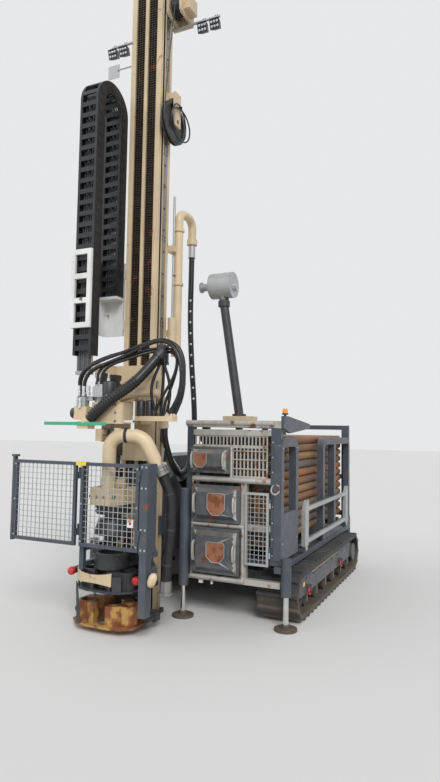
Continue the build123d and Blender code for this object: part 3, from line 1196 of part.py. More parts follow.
def hose(name):
    """A hose along its route, each bend as wide as its two runs allow."""
    diameter, points = ROUTES[name]
    places = [Vector(*point) for point in points]
    bends = []
    for before, here, after in zip(places, places[1:], places[2:]):
        runs = (here - before, after - here)
        half_turn = math.radians(runs[0].get_angle(runs[1])) / 2
        bends.append(0.45 * min(run.length for run in runs) / math.tan(half_turn))
    print(name, "bends", [round(bend) for bend in bends])
    return pipe_along(points, diameter / 2, bends)


def discharge_coupling():
    """The open coupling at the lower end of the discharge hose."""
    x, y, z = ROUTES["discharge_hose"][1][-1]
    radius = DISCHARGE_HOSE / 2
    coupling = tube(radius + 6, 16, (x, y, z - 120), 120)
    coupling += disc(radius + 6, (x, y, z - 20), 20)
    return coupling + tube(radius + 18, 28, (x, y, z - 120), 24)


# Clamps at the mast's foot

CLAMPS = {                   # clamp: bottom of its plate, height of its jaws, jaw bore, jaw reach
    "lower": (52.0, 165.0, 84.0, 300.0),
    "upper": (360.0, 150.0, 84.0, 270.0),
}
CLAMP_PLATE = 20.0
JAW_OPEN = 58.0
FOOT_BEAM_HALF = 172.0
FOOT_BEAM_TOP = 600.0


def clamp_frame():
    """The foot beam before the mast, the clamps' plates and cylinders, and the casing guide's ring."""
    beam = block((-FOOT_BEAM_HALF, FOOT_BEAM_HALF), (232, MAST_FRONT - RUN_GAP), (FOOT_TOP + RUN_GAP, FOOT_BEAM_TOP))
    beam += block((-60, 60), (232, MAST_FRONT - RUN_GAP), (FOOT_BEAM_TOP - 1, FOOT_BEAM_TOP + 60))
    for bottom, height, bore, reach in CLAMPS.values():
        half = [(FOOT_BEAM_HALF, 240), (reach + 30, 204), (reach + 30, -110), (reach - 60, -190), (110, -215)]
        outline = half + [(-x, y) for x, y in reversed(half)]
        plate = plate_z(outline, (bottom, bottom + CLAMP_PLATE))
        beam += plate - disc(bore + 40, (0, 0, bottom - 1), CLAMP_PLATE + 2)
        rail = (bottom + CLAMP_PLATE - 1, bottom + CLAMP_PLATE + height)
        beam += block((-FOOT_BEAM_HALF, FOOT_BEAM_HALF), (205, 233), rail)
        for side in (-1, 1):
            x = side * (reach + 110)
            beam += block(sorted((side * (reach - 30), x)), (112, 200), (rail[0], rail[0] + 84))
    lugs = CLAMPS["upper"]
    z = lugs[0] + CLAMP_PLATE + lugs[1]
    beam += block((-FOOT_BEAM_HALF, FOOT_BEAM_HALF), (150, 240), (z + 14, z + 29))
    beam += plate_z([(-150, 160), (150, 160), (120, -60), (-120, -60)], (z + 14, z + 29))
    beam += disc(GUIDE_RADIUS, (0, 0, z + 14), 136)
    beam += disc(GUIDE_RADIUS + 12, (0, 0, z + 128), 22)
    return beam - disc(GUIDE_BORE, (0, 0, z), 200)


GUIDE_RADIUS = 158.0
GUIDE_BORE = 120.0


def jaw(name, side):
    """One jaw of a clamp: a half ring with a rounded arm, open by a gap at rest."""
    bottom, height, bore, reach = CLAMPS[name]
    lobe = 86.0
    outline = Circle(bore + 88) + Pos(reach - lobe - 50, -40) * Circle(lobe)
    outline += Pos((reach - lobe) / 2, -20) * Rectangle(reach - lobe, 190)
    outline = outline - Circle(bore) - Pos(-500 + 4, 0) * Rectangle(1000, 1000)
    solid = extrude(Pos(0, 0, bottom + CLAMP_PLATE + RUN_GAP) * outline, height)
    lightening = Pos(reach - lobe - 50, -40, bottom + CLAMP_PLATE + height - 60)
    solid -= lightening * Cylinder(lobe - 22, 130, align=(Align.CENTER, Align.CENTER, Align.MIN))
    solid = Pos(JAW_OPEN, 0, 0) * solid
    return solid if side > 0 else mirror(solid, Plane.YZ)


# Guard round the drill axis

GUARD_X = (-185.0, 440.0)
GUARD_Z = (755.0, 1500.0)
GUARD_Y = -262.0
GUARD_TUBE = 30.0
WING_WIDTH = 745.0
GUARD_POST = 44.0
WING_HINGE = (GUARD_X[0] - GUARD_POST / 2 - 11.0, GUARD_Y + GUARD_TUBE + 6.0)
GUARD_KNUCKLES = (GUARD_Z[0] + 90, GUARD_Z[1] - 150)
GATE_DOOR_HINGE = (GUARD_X[1] + 2.0, GUARD_Y - 10.0)


def guard_frame():
    """The guard's left post and right column, each on two arms from the foot beam."""
    y = (GUARD_Y + GUARD_TUBE + 22, GUARD_Y + GUARD_TUBE + 22 + GUARD_POST)
    mid = (GUARD_X[0] - GUARD_POST / 2, GUARD_X[0] + GUARD_POST / 2)
    post = block(mid, y, (540, GUARD_Z[1] - 10))
    x = (GUARD_X[1] + 8, GUARD_X[1] + 88)
    column = block(x, (GUARD_Y, GUARD_Y + 150), (GUARD_Z[0] - 10, GUARD_Z[1] + 6))
    column += block((x[0] + 6, x[1] - 6), (GUARD_Y + 4, GUARD_Y + 96), (215, GUARD_Z[0] - 9))
    seat = FOOT_BEAM_HALF + RUN_GAP
    for z in (560, 700):
        post += plate_z([(mid[0], y[1] - 1), (-seat, y[1] - 1), (-seat, 250), (-seat, 331),
                         (-seat - 50, 331), (-seat - 50, 250)], (z, z + 40))
        column += plate_z([(x[0] + 6, GUARD_Y + 90), (x[1] - 6, GUARD_Y + 90), (x[1] - 6, -60),
                           (seat + 50, 330), (seat, 330), (seat, 300)], (z, z + 40))
    post += block((-seat - 50, -seat), (250, 331), (560, 740))
    column += block((seat, seat + 50), (300, 330), (560, 740))
    for z in GUARD_KNUCKLES:
        span = (z + 60 + RUN_GAP, z + 100 + RUN_GAP)
        post += disc(KNUCKLE, (*WING_HINGE, span[0]), 40)
        post += block((WING_HINGE[0] - 3, mid[0] + 7), (WING_HINGE[1], y[0] + 1), span)
        column += disc(KNUCKLE, (*GATE_DOOR_HINGE, span[0]), 40)
        column += block((GATE_DOOR_HINGE[0], x[0] + 12), (GATE_DOOR_HINGE[1] - 6, GUARD_Y + 1), span)
    return group([post, column])


def guard_wing():
    """The side door of the guard, standing open in line with the front door."""
    x = (GUARD_X[0] - GUARD_POST / 2 - WING_WIDTH, WING_HINGE[0] - 12)
    wing = mesh_panel(x, GUARD_Z, GUARD_Y, GUARD_TUBE, 50, 5)
    wing += block((x[0] - 26, x[0] + 1), (GUARD_Y - 4, GUARD_Y + 34), (GUARD_Z[0] - 10, GUARD_Z[1] + 30))
    wing += block((x[0] - 36, x[0] + 22), (GUARD_Y - 10, GUARD_Y + 40), (GUARD_Z[1] + 29, GUARD_Z[1] + 48))
    for z in GUARD_KNUCKLES:
        wing += block((x[1] - 1, WING_HINGE[0]), (GUARD_Y + 14, GUARD_Y + GUARD_TUBE), (z, z + 60))
        wing += disc(KNUCKLE, (*WING_HINGE, z), 60)
    return wing


def guard_door():
    """The front door of the guard, hung on the right column."""
    x = (GUARD_X[0] + 6, GUARD_X[1] - 4)
    door = mesh_panel(x, GUARD_Z, GUARD_Y, GUARD_TUBE, 50, 5)
    for z in GUARD_KNUCKLES:
        door += block((x[1] - 1, GATE_DOOR_HINGE[0] + 4), (GUARD_Y - 6, GUARD_Y + 6), (z, z + 60))
        door += disc(KNUCKLE, (*GATE_DOOR_HINGE, z), 60)
    return door


# All pieces, each under the name of its node

NODES = {
    "track_left": track(-1), "track_right": track(1),
    "wheels_left": wheels(-1), "wheels_right": wheels(1),
    "crawler_frame": crawler_frame(), "main_deck": main_deck(),
    "engine_block": engine_block(), "engine_hood": engine_hood(), "hood_door": hood_door(),
    "fluid_tank": fluid_tank(), "exhaust_stack": exhaust_stack(),
    "rod_rack": rod_rack(), "drill_rods": drill_rods(), "end_panels": end_panels(),
    "rack_grids": rack_grids(), "side_guard": side_guard(), "mesh_gate": mesh_gate(),
    "beacon": beacon(), "rack_manifold": rack_manifold(), "discharge_stack": discharge_stack(),
    "jack_tubes": jack_tubes(),
    "mast_cradle": mast_cradle(), "tilt_barrel": tilt_barrel(), "tilt_rod": tilt_rod(),
    "mast": mast(), "feed_chains": feed_chains(), "mast_head": mast_head(), "crown_sheave": crown_sheave(),
    "winch_frame": winch_frame(), "winch_drum": winch_drum(),
    "rope_guide": rope_guide(), "rope_sheave": rope_sheave(), "work_lights": work_lights(),
    "standpipe": standpipe(), "energy_chain": energy_chain(), "chain_guide": chain_guide(),
    "head_carriage": head_carriage(), "upper_head": upper_head(), "upper_spindle": upper_spindle(),
    "lower_head": lower_head(), "lower_spindle": lower_spindle(),
    "clamp_frame": clamp_frame(), "discharge_coupling": discharge_coupling(),
    "guard_frame": guard_frame(), "guard_wing": guard_wing(), "guard_door": guard_door(),
}
for name in ROUTES:
    NODES[name] = hose(name)
for number, (x, y, top, hold) in enumerate(JACKS, start=1):
    NODES[f"jack_rod_{number}"] = jack_rod(x, y)
for name in CLAMPS:
    NODES[f"{name}_jaw_left"] = jaw(name, -1)
    NODES[f"{name}_jaw_right"] = jaw(name, 1)

ends = [shape.bounding_box() for shape in NODES.values()]
MIDDLE_X = (min(end.min.X for end in ends) + max(end.max.X for end in ends)) / 2
MIDDLE_Y = (min(end.min.Y for end in ends) + max(end.max.Y for end in ends)) / 2
print("shift", -MIDDLE_X, -MIDDLE_Y)

for name, shape in NODES.items():
    export_step(Pos(-MIDDLE_X, -MIDDLE_Y, 0) * shape, f"parts/{name}.step")
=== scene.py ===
import math

import bmesh
import bpy
from mathutils import Matrix, Vector


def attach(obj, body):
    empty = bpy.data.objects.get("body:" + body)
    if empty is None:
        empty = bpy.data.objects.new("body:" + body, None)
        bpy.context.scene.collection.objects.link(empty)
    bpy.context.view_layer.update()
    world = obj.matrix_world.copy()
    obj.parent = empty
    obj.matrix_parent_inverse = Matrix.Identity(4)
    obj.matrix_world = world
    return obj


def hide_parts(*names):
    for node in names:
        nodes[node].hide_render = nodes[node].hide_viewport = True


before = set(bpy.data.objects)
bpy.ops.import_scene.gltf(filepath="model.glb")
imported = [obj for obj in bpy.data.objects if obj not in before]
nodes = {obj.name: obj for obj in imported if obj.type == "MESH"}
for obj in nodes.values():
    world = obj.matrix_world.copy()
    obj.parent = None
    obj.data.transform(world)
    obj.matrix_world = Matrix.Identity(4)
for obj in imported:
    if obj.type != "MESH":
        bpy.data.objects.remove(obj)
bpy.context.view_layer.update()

# Places below are in the part's own millimetres: X right and Y back from the drill axis, Z from the ground.
SHIFT = (-289.5, -1779.504)


def at(x, y, z):
    """A place in the part's millimetres, as a point of the row frame in metres."""
    return Vector(((x + SHIFT[0]) / 1000, (y + SHIFT[1]) / 1000, z / 1000))


# Camera, solved from the photograph's upright edges and the rack's parallel lines

CAMERA_PLACE = (3165, -4585, 1800)
CAMERA_RIGHT = (0.910, 0.415, 0.016)
CAMERA_FORWARD = (-0.415, 0.907, 0.068)
FRAME_HEIGHT = 36                       # millimetres of film, with the lens below
LENS_LENGTH = 27.02


def add_camera():
    data = bpy.data.cameras.new("camera")
    data.sensor_fit = "VERTICAL"
    data.sensor_height = FRAME_HEIGHT
    data.lens = LENS_LENGTH
    camera = bpy.data.objects.new("camera", data)
    right = Vector(CAMERA_RIGHT).normalized()
    forward = Vector(CAMERA_FORWARD).normalized()
    up = right.cross(forward).normalized()
    right = forward.cross(up)
    turn = Matrix((right, up, -forward)).transposed().to_4x4()
    camera.matrix_world = Matrix.Translation(at(*CAMERA_PLACE)) @ turn
    bpy.context.collection.objects.link(camera)
    bpy.context.scene.camera = camera


add_camera()


# Materials

class Nodes:
    """Short names for building a material's node tree."""

    def __init__(self, name):
        self.material = bpy.data.materials.new(name)
        self.material.use_nodes = True
        self.tree = self.material.node_tree
        self.shader = self.tree.nodes["Principled BSDF"]
        coordinates = self.tree.nodes.new("ShaderNodeTexCoord")
        self.place = coordinates.outputs["Object"]

    def link(self, value, socket):
        if isinstance(value, bpy.types.NodeSocket):
            self.tree.links.new(value, socket)
        else:
            socket.default_value = value

    def noise(self, scale, detail=4.0, stretch=None):
        node = self.tree.nodes.new("ShaderNodeTexNoise")
        place = self.place
        if stretch:
            mapping = self.tree.nodes.new("ShaderNodeMapping")
            mapping.inputs["Scale"].default_value = stretch
            self.link(place, mapping.inputs["Vector"])
            place = mapping.outputs[0]
        self.link(place, node.inputs["Vector"])
        node.inputs["Scale"].default_value = scale
        node.inputs["Detail"].default_value = detail
        return node.outputs["Fac"]

    def step(self, value, low, high, top=1.0):
        """0 below low, rising to top at high."""
        node = self.tree.nodes.new("ShaderNodeMapRange")
        self.link(value, node.inputs["Value"])
        node.inputs["From Min"].default_value = low
        node.inputs["From Max"].default_value = high
        node.inputs["To Max"].default_value = top
        return node.outputs[0]

    def math(self, operation, a, b=0.5):
        node = self.tree.nodes.new("ShaderNodeMath")
        node.operation = operation
        self.link(a, node.inputs[0])
        self.link(b, node.inputs[1])
        return node.outputs[0]

    def mix(self, share, a, b):
        node = self.tree.nodes.new("ShaderNodeMix")
        node.data_type = "RGBA"
        self.link(share, node.inputs[0])
        self.link(a, node.inputs[6])
        self.link(b, node.inputs[7])
        return node.outputs[2]

    def axis(self, name):
        node = self.tree.nodes.new("ShaderNodeSeparateXYZ")
        self.link(self.place, node.inputs[0])
        return node.outputs[name]

    def facing_up(self):
        node = self.tree.nodes.new("ShaderNodeNewGeometry")
        split = self.tree.nodes.new("ShaderNodeSeparateXYZ")
        self.link(node.outputs["Normal"], split.inputs[0])
        return split.outputs["Z"]

    def random(self, value):
        node = self.tree.nodes.new("ShaderNodeTexWhiteNoise")
        node.noise_dimensions = "1D"
        self.link(value, node.inputs["W"])
        return node.outputs["Value"]

    def ramp(self, value, colors):
        node = self.tree.nodes.new("ShaderNodeValToRGB")
        node.color_ramp.interpolation = "CONSTANT"
        stops = node.color_ramp.elements
        while len(stops) < len(colors):
            stops.new(1.0)
        for i, color in enumerate(colors):
            stops[i].position = i / len(colors)
            stops[i].color = rgb(color)
        self.link(value, node.inputs[0])
        return node.outputs["Color"]

    def bump(self, value, strength, distance=0.002):
        node = self.tree.nodes.new("ShaderNodeBump")
        node.inputs["Strength"].default_value = strength
        node.inputs["Distance"].default_value = distance
        self.link(value, node.inputs["Height"])
        self.link(node.outputs[0], self.shader.inputs["Normal"])


def rgb(color, factor=1.0):
    return (color[0] * factor, color[1] * factor, color[2] * factor, 1)


DUST = (0.36, 0.32, 0.26)
MUD = (0.15, 0.115, 0.08)
RUST = (0.23, 0.075, 0.025)


def wear(n, tone, dust, rust, mud):
    """Rust spots, dust on what faces up, a thin film of dirt, and splashed mud below a height."""
    if rust:
        spots = n.step(n.noise(9.0, 8.0), 0.66 - 0.3 * rust, 0.74 - 0.28 * rust)
        tone = n.mix(spots, tone, n.mix(n.noise(40.0), rgb(RUST, 0.5), rgb(RUST, 1.3)))
    lies = n.math("MULTIPLY", n.step(n.facing_up(), 0.3, 0.9, dust), n.step(n.noise(3.0, 5.0), 0.3, 0.7))
    film = n.step(n.noise(14.0, 6.0), 0.45, 0.75, 0.3 * dust)
    tone = n.mix(n.math("MAXIMUM", lies, film), tone, rgb(DUST))
    if mud:
        splash = n.math("ADD", n.axis("Z"), n.math("MULTIPLY", n.noise(6.0, 6.0), -0.5))
        tone = n.mix(n.step(splash, mud, mud - 0.45, 0.8), tone, rgb(MUD))
    return tone


def finish(name, color, rough=0.5, metal=0.0, dust=0.4, rust=0.0, stain=0.25, mud=0.0, bump=0.15,
           grain=60.0):
    """A worn surface: uneven tone and streaks under its dust and rust."""
    n = Nodes(name)
    tone = n.mix(n.step(n.noise(1.7), 0.35, 0.65), rgb(color, 0.84), rgb(color, 1.1))
    streak = n.step(n.noise(5.0, 6.0, stretch=(3, 3, 0.5)), 0.52, 0.72, stain)
    tone = n.mix(streak, tone, rgb([0.5 * c + 0.3 * d for c, d in zip(color, MUD)]))
    n.link(wear(n, tone, dust, rust, mud), n.shader.inputs["Base Color"])
    n.shader.inputs["Metallic"].default_value = metal
    n.link(n.math("ADD", n.step(n.noise(11.0), 0.3, 0.7, 0.16), rough - 0.06), n.shader.inputs["Roughness"])
    n.bump(n.noise(grain, 5.0), bump)
    return n.material


def plain(name, color, rough, metal=0.0, grain=40.0, coat=0.0):
    """A cleaner surface with a faint change of tone and a fine grain."""
    n = Nodes(name)
    n.link(n.mix(n.noise(grain / 3), rgb(color, 0.85), rgb(color, 1.12)), n.shader.inputs["Base Color"])
    n.shader.inputs["Metallic"].default_value = metal
    n.shader.inputs["Coat Weight"].default_value = coat
    n.link(n.math("ADD", n.step(n.noise(grain), 0.3, 0.7, 0.1), rough - 0.05), n.shader.inputs["Roughness"])
    n.bump(n.noise(grain * 2), 0.08)
    return n.material


ROD_PITCH = 89.4
ROD_RADIUS = 44.5
RODS_RIGHT, RODS_TOP = 1296, 1764       # outer edges of the right column and of the top row
ROD_COLUMNS, ROD_ROWS = 9, 12
ROD_TONES = ((0.36, 0.13, 0.035), (0.20, 0.105, 0.055), (0.155, 0.12, 0.085), (0.33, 0.19, 0.06),
             (0.24, 0.10, 0.045), (0.19, 0.15, 0.10), (0.13, 0.105, 0.08), (0.29, 0.155, 0.06))


def rod_finish():
    """Each rod of the rack has its own tone, from fresh rust to grey, with scuffed patches."""
    n = Nodes("rod_steel")
    right, _, top = at(RODS_RIGHT, 0, RODS_TOP)
    row = n.math("FLOOR", n.math("DIVIDE", n.math("SUBTRACT", top, n.axis("Z")), ROD_PITCH / 1000))
    column = n.math("FLOOR", n.math("DIVIDE", n.math("SUBTRACT", right, n.axis("X")), ROD_PITCH / 1000))
    tone = n.ramp(n.random(n.math("ADD", row, n.math("MULTIPLY", column, 13.7))), ROD_TONES)
    patches = n.step(n.noise(4.0, 6.0, stretch=(1, 0.35, 1)), 0.5, 0.62, 0.55)
    tone = n.mix(patches, tone, rgb((0.13, 0.10, 0.075)))
    n.link(wear(n, tone, 0.25, 0.15, 0), n.shader.inputs["Base Color"])
    n.shader.inputs["Metallic"].default_value = 0.2
    n.link(n.math("ADD", n.step(n.noise(15.0), 0.3, 0.7, 0.2), 0.5), n.shader.inputs["Roughness"])
    n.bump(n.noise(70.0, 6.0), 0.35)
    return n.material


SLATE = finish("slate_paint", (0.058, 0.070, 0.090), rough=0.42, dust=0.22, rust=0.03, mud=0.12)
BEIGE = finish("beige_paint", (0.62, 0.485, 0.31), rough=0.42, dust=0.15, rust=0.03, mud=0.15)
PALE = finish("pale_paint", (0.50, 0.47, 0.40), rough=0.45, dust=0.3, rust=0.05, mud=0.5)
WORN = finish("worn_rail", (0.46, 0.44, 0.40), rough=0.5, metal=0.2, dust=0.3, rust=0.22, stain=0.6)
ZINC = finish("zinc", (0.43, 0.45, 0.45), rough=0.45, metal=0.5, dust=0.25, rust=0.03, grain=90.0)
PANEL = finish("panel_steel", (0.105, 0.115, 0.13), rough=0.48, metal=0.3, dust=0.9, rust=0.16, stain=0.7)
IRON = finish("track_iron", (0.030, 0.031, 0.034), rough=0.62, metal=0.2, dust=0.28, rust=0.04, mud=0.1,
              bump=0.5)
CASTING = finish("engine_iron", (0.07, 0.07, 0.07), rough=0.6, metal=0.3, dust=0.3)
OCHRE = finish("ochre_steel", (0.44, 0.25, 0.07), rough=0.55, metal=0.15, dust=0.2, rust=0.75, bump=0.4)
RUSTY = finish("rusty_plate", (0.34, 0.14, 0.075), rough=0.75, metal=0.1, dust=0.15, rust=0.6, stain=0.5,
               bump=0.5)
GREASE = finish("greasy_chain", (0.05, 0.036, 0.026), rough=0.42, metal=0.5, dust=0.2, rust=0.12, bump=0.3)
STEEL = finish("bare_steel", (0.27, 0.265, 0.25), rough=0.36, metal=0.8, dust=0.2, rust=0.12, bump=0.2)
DARK = finish("dark_steel", (0.048, 0.050, 0.055), rough=0.42, metal=0.4, dust=0.2, rust=0.06)
WHITE = finish("white_paint", (0.72, 0.72, 0.70), rough=0.45, dust=0.2, rust=0.02)
NYLON = finish("black_nylon", (0.010, 0.011, 0.013), rough=0.4, dust=0.07, stain=0.05)
CABLE = finish("cable_sheath", (0.10, 0.105, 0.11), rough=0.35, dust=0.2, stain=0.1)
RUBBER = finish("hose_rubber", (0.009, 0.009, 0.011), rough=0.34, dust=0.06, stain=0.05, grain=120.0)
CHROME = plain("chrome", (0.72, 0.72, 0.73), 0.14, metal=1.0)
BLACK = plain("black_paint", (0.022, 0.024, 0.028), 0.4)
AMBER = plain("amber", (0.95, 0.30, 0.02), 0.15, coat=0.4)
LENS = plain("lens", (0.55, 0.58, 0.60), 0.1, metal=0.4, coat=0.6)
RED = plain("red_paint", (0.55, 0.03, 0.03), 0.35)
GREEN = plain("green_paint", (0.05, 0.36, 0.20), 0.45)
YELLOW = plain("yellow_strap", (0.75, 0.55, 0.08), 0.6)
RODS = rod_finish()

JACK_RODS = [f"jack_rod_{number}" for number in range(1, 6)]

# What isn't named here is a hose, and is rubber.
FINISHES = {
    "crawler_frame": SLATE, "main_deck": SLATE, "rod_rack": SLATE, "mast_cradle": SLATE,
    "guard_frame": SLATE, "jack_tubes": SLATE, "guard_wing": SLATE, "guard_door": SLATE, "clamp_frame": DARK,
    "mast": BEIGE, "mast_head": BEIGE, "head_carriage": BEIGE, "upper_head": BEIGE, "lower_head": BEIGE,
    "standpipe": BEIGE, "rack_manifold": BEIGE, "winch_frame": BEIGE, "rope_guide": BEIGE,
    "engine_hood": SLATE, "hood_door": SLATE, "fluid_tank": PALE,
    "side_guard": ZINC, "mesh_gate": ZINC, "rack_grids": WORN, "exhaust_stack": STEEL, "end_panels": PANEL,
    "track_left": IRON, "track_right": IRON, "wheels_left": IRON, "wheels_right": IRON,
    "engine_block": CASTING, "drill_rods": RODS, "discharge_coupling": STEEL,
    "lower_jaw_left": OCHRE, "lower_jaw_right": OCHRE, "upper_jaw_left": DARK, "upper_jaw_right": DARK,
    "feed_chains": GREASE, "upper_spindle": STEEL, "lower_spindle": DARK, "crown_sheave": STEEL,
    "rope_sheave": DARK, "winch_drum": STEEL, "tilt_rod": CHROME, "tilt_barrel": BLACK,
    "energy_chain": NYLON, "chain_guide": WHITE, "beacon": AMBER, "work_lights": NYLON,
    "discharge_stack": DARK, **dict.fromkeys(JACK_RODS, CHROME),
}
for name, node in nodes.items():
    node.data.materials.clear()
    node.data.materials.append(FINISHES.get(name, RUBBER))


def paint(name, material, where):
    """Gives another material to a node's faces whose middle, in the part's millimetres, passes a test."""
    mesh = nodes[name].data
    mesh.materials.append(material)
    slot = len(mesh.materials) - 1
    for face in mesh.polygons:
        x, y, z = face.center * 1000
        if where(x - SHIFT[0], y - SHIFT[1], z):
            face.material_index = slot


def within(left, right, low, high):
    """A test for what lies inside an upright frame."""
    return lambda x, y, z: left < x < right and low < z < high


MESH_HEIGHT = (786, 1469)
GRIPS = ((513, 1517, 60), (850, 1517, 60), (543, 1098, 84), (964, 1098, 70), (543, 645, 84),
         (964, 645, 70))                # X and Z of the grips' middles on the chests, and their half heights


def on_grip(x, y, z):
    return y < 625.5 and min(abs(x - side) for side, _, _ in GRIPS) < 9


# Galvanised mesh between the guard's frames
paint("guard_wing", ZINC, within(-922, -265, *MESH_HEIGHT))
paint("guard_door", ZINC, within(-148, 405, *MESH_HEIGHT))
# The rack's worn face: its top rail and the rails between its posts; the grips on its chests
paint("rod_rack", WORN, lambda x, y, z: y < 735 and x < 1399 and (z > 1838 or 481 < x < 1299))
paint("end_panels", WORN, on_grip)
# The mast's necks behind its guide flanges, in dark steel as painted shade for that recess; its chain
# channels, its foot plate and its side strip
# Painted shade: the necks in the recess behind the guide flanges are coloured dark steel for the shadow there
paint("mast", DARK, lambda x, y, z: abs(x) > 151 and 411 < y < 443)
paint("mast", GREASE, lambda x, y, z: 19 < abs(x) < 124 and 371 < y < 441 and z > 590)
paint("mast", DARK, lambda x, y, z: z < 41 or (y > 591 and z < 45))
paint("mast", STEEL, lambda x, y, z: x > 189.5 and z > 2300)
# The thin pole beside the standpipe, the discharge pipe's drum, the beacon's stalk, the lamps' pole
paint("standpipe", ZINC, lambda x, y, z: math.hypot(x - 209, y - 660) < 14)
paint("discharge_stack", ZINC, lambda x, y, z: z > 3190)
paint("beacon", DARK, lambda x, y, z: z < 1979)
paint("work_lights", ZINC, lambda x, y, z: z > 6045)
# The lower head's coupling, its ribbed collar, and its two motors
paint("lower_head", STEEL, lambda x, y, z: x > 420 and z < 1500)
paint("lower_head", DARK, lambda x, y, z: z < 1119 and y < 240)
paint("lower_head", DARK, lambda x, y, z: math.hypot(abs(x) - 100, y - 190) < 61 and z > 1271)
# The upper head's motors, its valve block, and the sleeve of its outlet
paint("upper_head", DARK, lambda x, y, z: z > 2046 and y > -136 and x < -30 and abs(x + 99) < 68)
paint("upper_head", ZINC, lambda x, y, z: y < -140 and z > 2002)
paint("upper_head", ZINC, lambda x, y, z: x > 295 and 235 < y < 365 and z < 1852)
# The junction box, the lower clamp's bottom plate, the spindle below its head, and the jacks' feet
paint("head_carriage", DARK, lambda x, y, z: x > 366 and y < 113)
paint("clamp_frame", OCHRE, lambda x, y, z: z < 73 and y < 231)
paint("upper_spindle", IRON, lambda x, y, z: z < 1700)
for name in JACK_RODS:
    paint(name, IRON, lambda x, y, z: z < 53)


# Forms: pieces built of plates, bars and rings

BOX_FACES = ((0, 1, 3, 2), (4, 6, 7, 5), (0, 4, 5, 1), (2, 3, 7, 6), (0, 2, 6, 4), (1, 5, 7, 3))
WIRE_SIDES = 8


def circle(middle, across, other, radius, sides):
    """Points evenly round a middle, in the plane of two directions."""
    angles = [math.tau * i / sides for i in range(sides)]
    return [middle + (across * math.cos(a) + other * math.sin(a)) * radius for a in angles]


class Form:
    """Collects plates, bars and rings in the part's millimetres, and makes them one piece."""

    def __init__(self):
        self.points, self.faces = [], []

    def add(self, points, faces):
        first = len(self.points)
        self.points += [at(*point) for point in points]
        self.faces += [[first + i for i in face] for face in faces]
        return self

    def box(self, x, y, z):
        points = [(a, b, c) for a in x for b in y for c in z]
        return self.add(points, BOX_FACES)

    def sweep(self, rings):
        """Joins rings of points, one after another, and closes both ends."""
        count = len(rings[0])
        faces = [list(range(count))[::-1], [(len(rings) - 1) * count + i for i in range(count)]]
        for r in range(len(rings) - 1):
            for i in range(count):
                j = (i + 1) % count
                faces.append((r * count + i, r * count + j, (r + 1) * count + j, (r + 1) * count + i))
        return self.add([point for ring in rings for point in ring], faces)

    def turned(self, start, end, profile, sides=16):
        """A turned form between two points; the profile is (share of the way, radius)."""
        start, end = Vector(start), Vector(end)
        axis = (end - start).normalized()
        across = axis.orthogonal().normalized()
        other = axis.cross(across)
        return self.sweep([circle(start.lerp(end, share), across, other, radius, sides)
                           for share, radius in profile])

    def bar(self, start, end, radius, sides=16):
        return self.turned(start, end, ((0, radius), (1, radius)), sides)

    def cap(self, start, end, radius, edge, sides=20):
        """A short bar whose far edge is rounded off."""
        share = 1 - edge / (Vector(end) - Vector(start)).length
        return self.turned(start, end, ((0, radius), (share, radius), ((1 + share) / 2, radius - 0.3 * edge),
                                        (1, radius - edge)), sides)

    def bolt(self, base, axis, radius, height):
        end = Vector(base) + Vector(axis) * height
        return self.turned(base, end, ((0, radius), (0.8, radius), (1, radius * 0.85)), 6)

    def pipe(self, points, radius, sides=12):
        """A round bar that follows points, with no twist."""
        points = [Vector(point) for point in points]
        runs = [(b - a).normalized() for a, b in zip(points, points[1:])]
        ways = [runs[0]] + [(a + b).normalized() for a, b in zip(runs, runs[1:])] + [runs[-1]]
        across = ways[0].orthogonal().normalized()
        rings = []
        for point, way in zip(points, ways):
            across = (across - way * across.dot(way)).normalized()
            rings.append(circle(point, across, way.cross(across), radius, sides))
        return self.sweep(rings)

    def ring(self, middle, axis, radius, wire, sides=24):
        """A closed ring of round wire."""
        axis = Vector(axis).normalized()
        across = axis.orthogonal().normalized()
        other = axis.cross(across)
        points, faces = [], []
        for i in range(sides):
            a = math.tau * i / sides
            out = across * math.cos(a) + other * math.sin(a)
            for k in range(WIRE_SIDES):
                b = math.tau * k / WIRE_SIDES
                points.append(Vector(middle) + out * (radius + wire * math.cos(b))
                              + axis * wire * math.sin(b))
                i_next, k_next = (i + 1) % sides, (k + 1) % WIRE_SIDES
                corners = ((i, k), (i_next, k), (i_next, k_next), (i, k_next))
                faces.append([p * WIRE_SIDES + q for p, q in corners])
        return self.add(points, faces)

    def plate(self, outline, start, way, thickness):
        """A flat plate from an outline of points and the way it is thick."""
        shift = Vector(way) * thickness
        front = [Vector(start) + Vector(point) for point in outline]
        return self.sweep([front, [point + shift for point in front]])

    def make(self, name, body, material, slot, bevel=0.0, smooth=False):
        mesh = bpy.data.meshes.new(name)
        mesh.from_pydata([tuple(point) for point in self.points], [], self.faces)
        piece = bpy.data.objects.new(name, mesh)
        bpy.context.collection.objects.link(piece)
        clean(mesh)
        mesh.materials.append(material)
        if bevel:
            rounding = piece.modifiers.new("edges", "BEVEL")
            rounding.width = bevel / 1000
            rounding.segments = 2
            rounding.limit_method = "ANGLE"
        if smooth:
            mesh.shade_smooth()
            mesh.set_sharp_from_angle(angle=math.radians(40))
        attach(piece, body)
        return piece


def clean(mesh):
    """Turns every face outwards."""
    work = bmesh.new()
    work.from_mesh(mesh)
    bmesh.ops.recalc_face_normals(work, faces=work.faces)
    work.to_mesh(mesh)
    work.free()


# Hoses and rope. Five hoses have a solid, and follow its route.

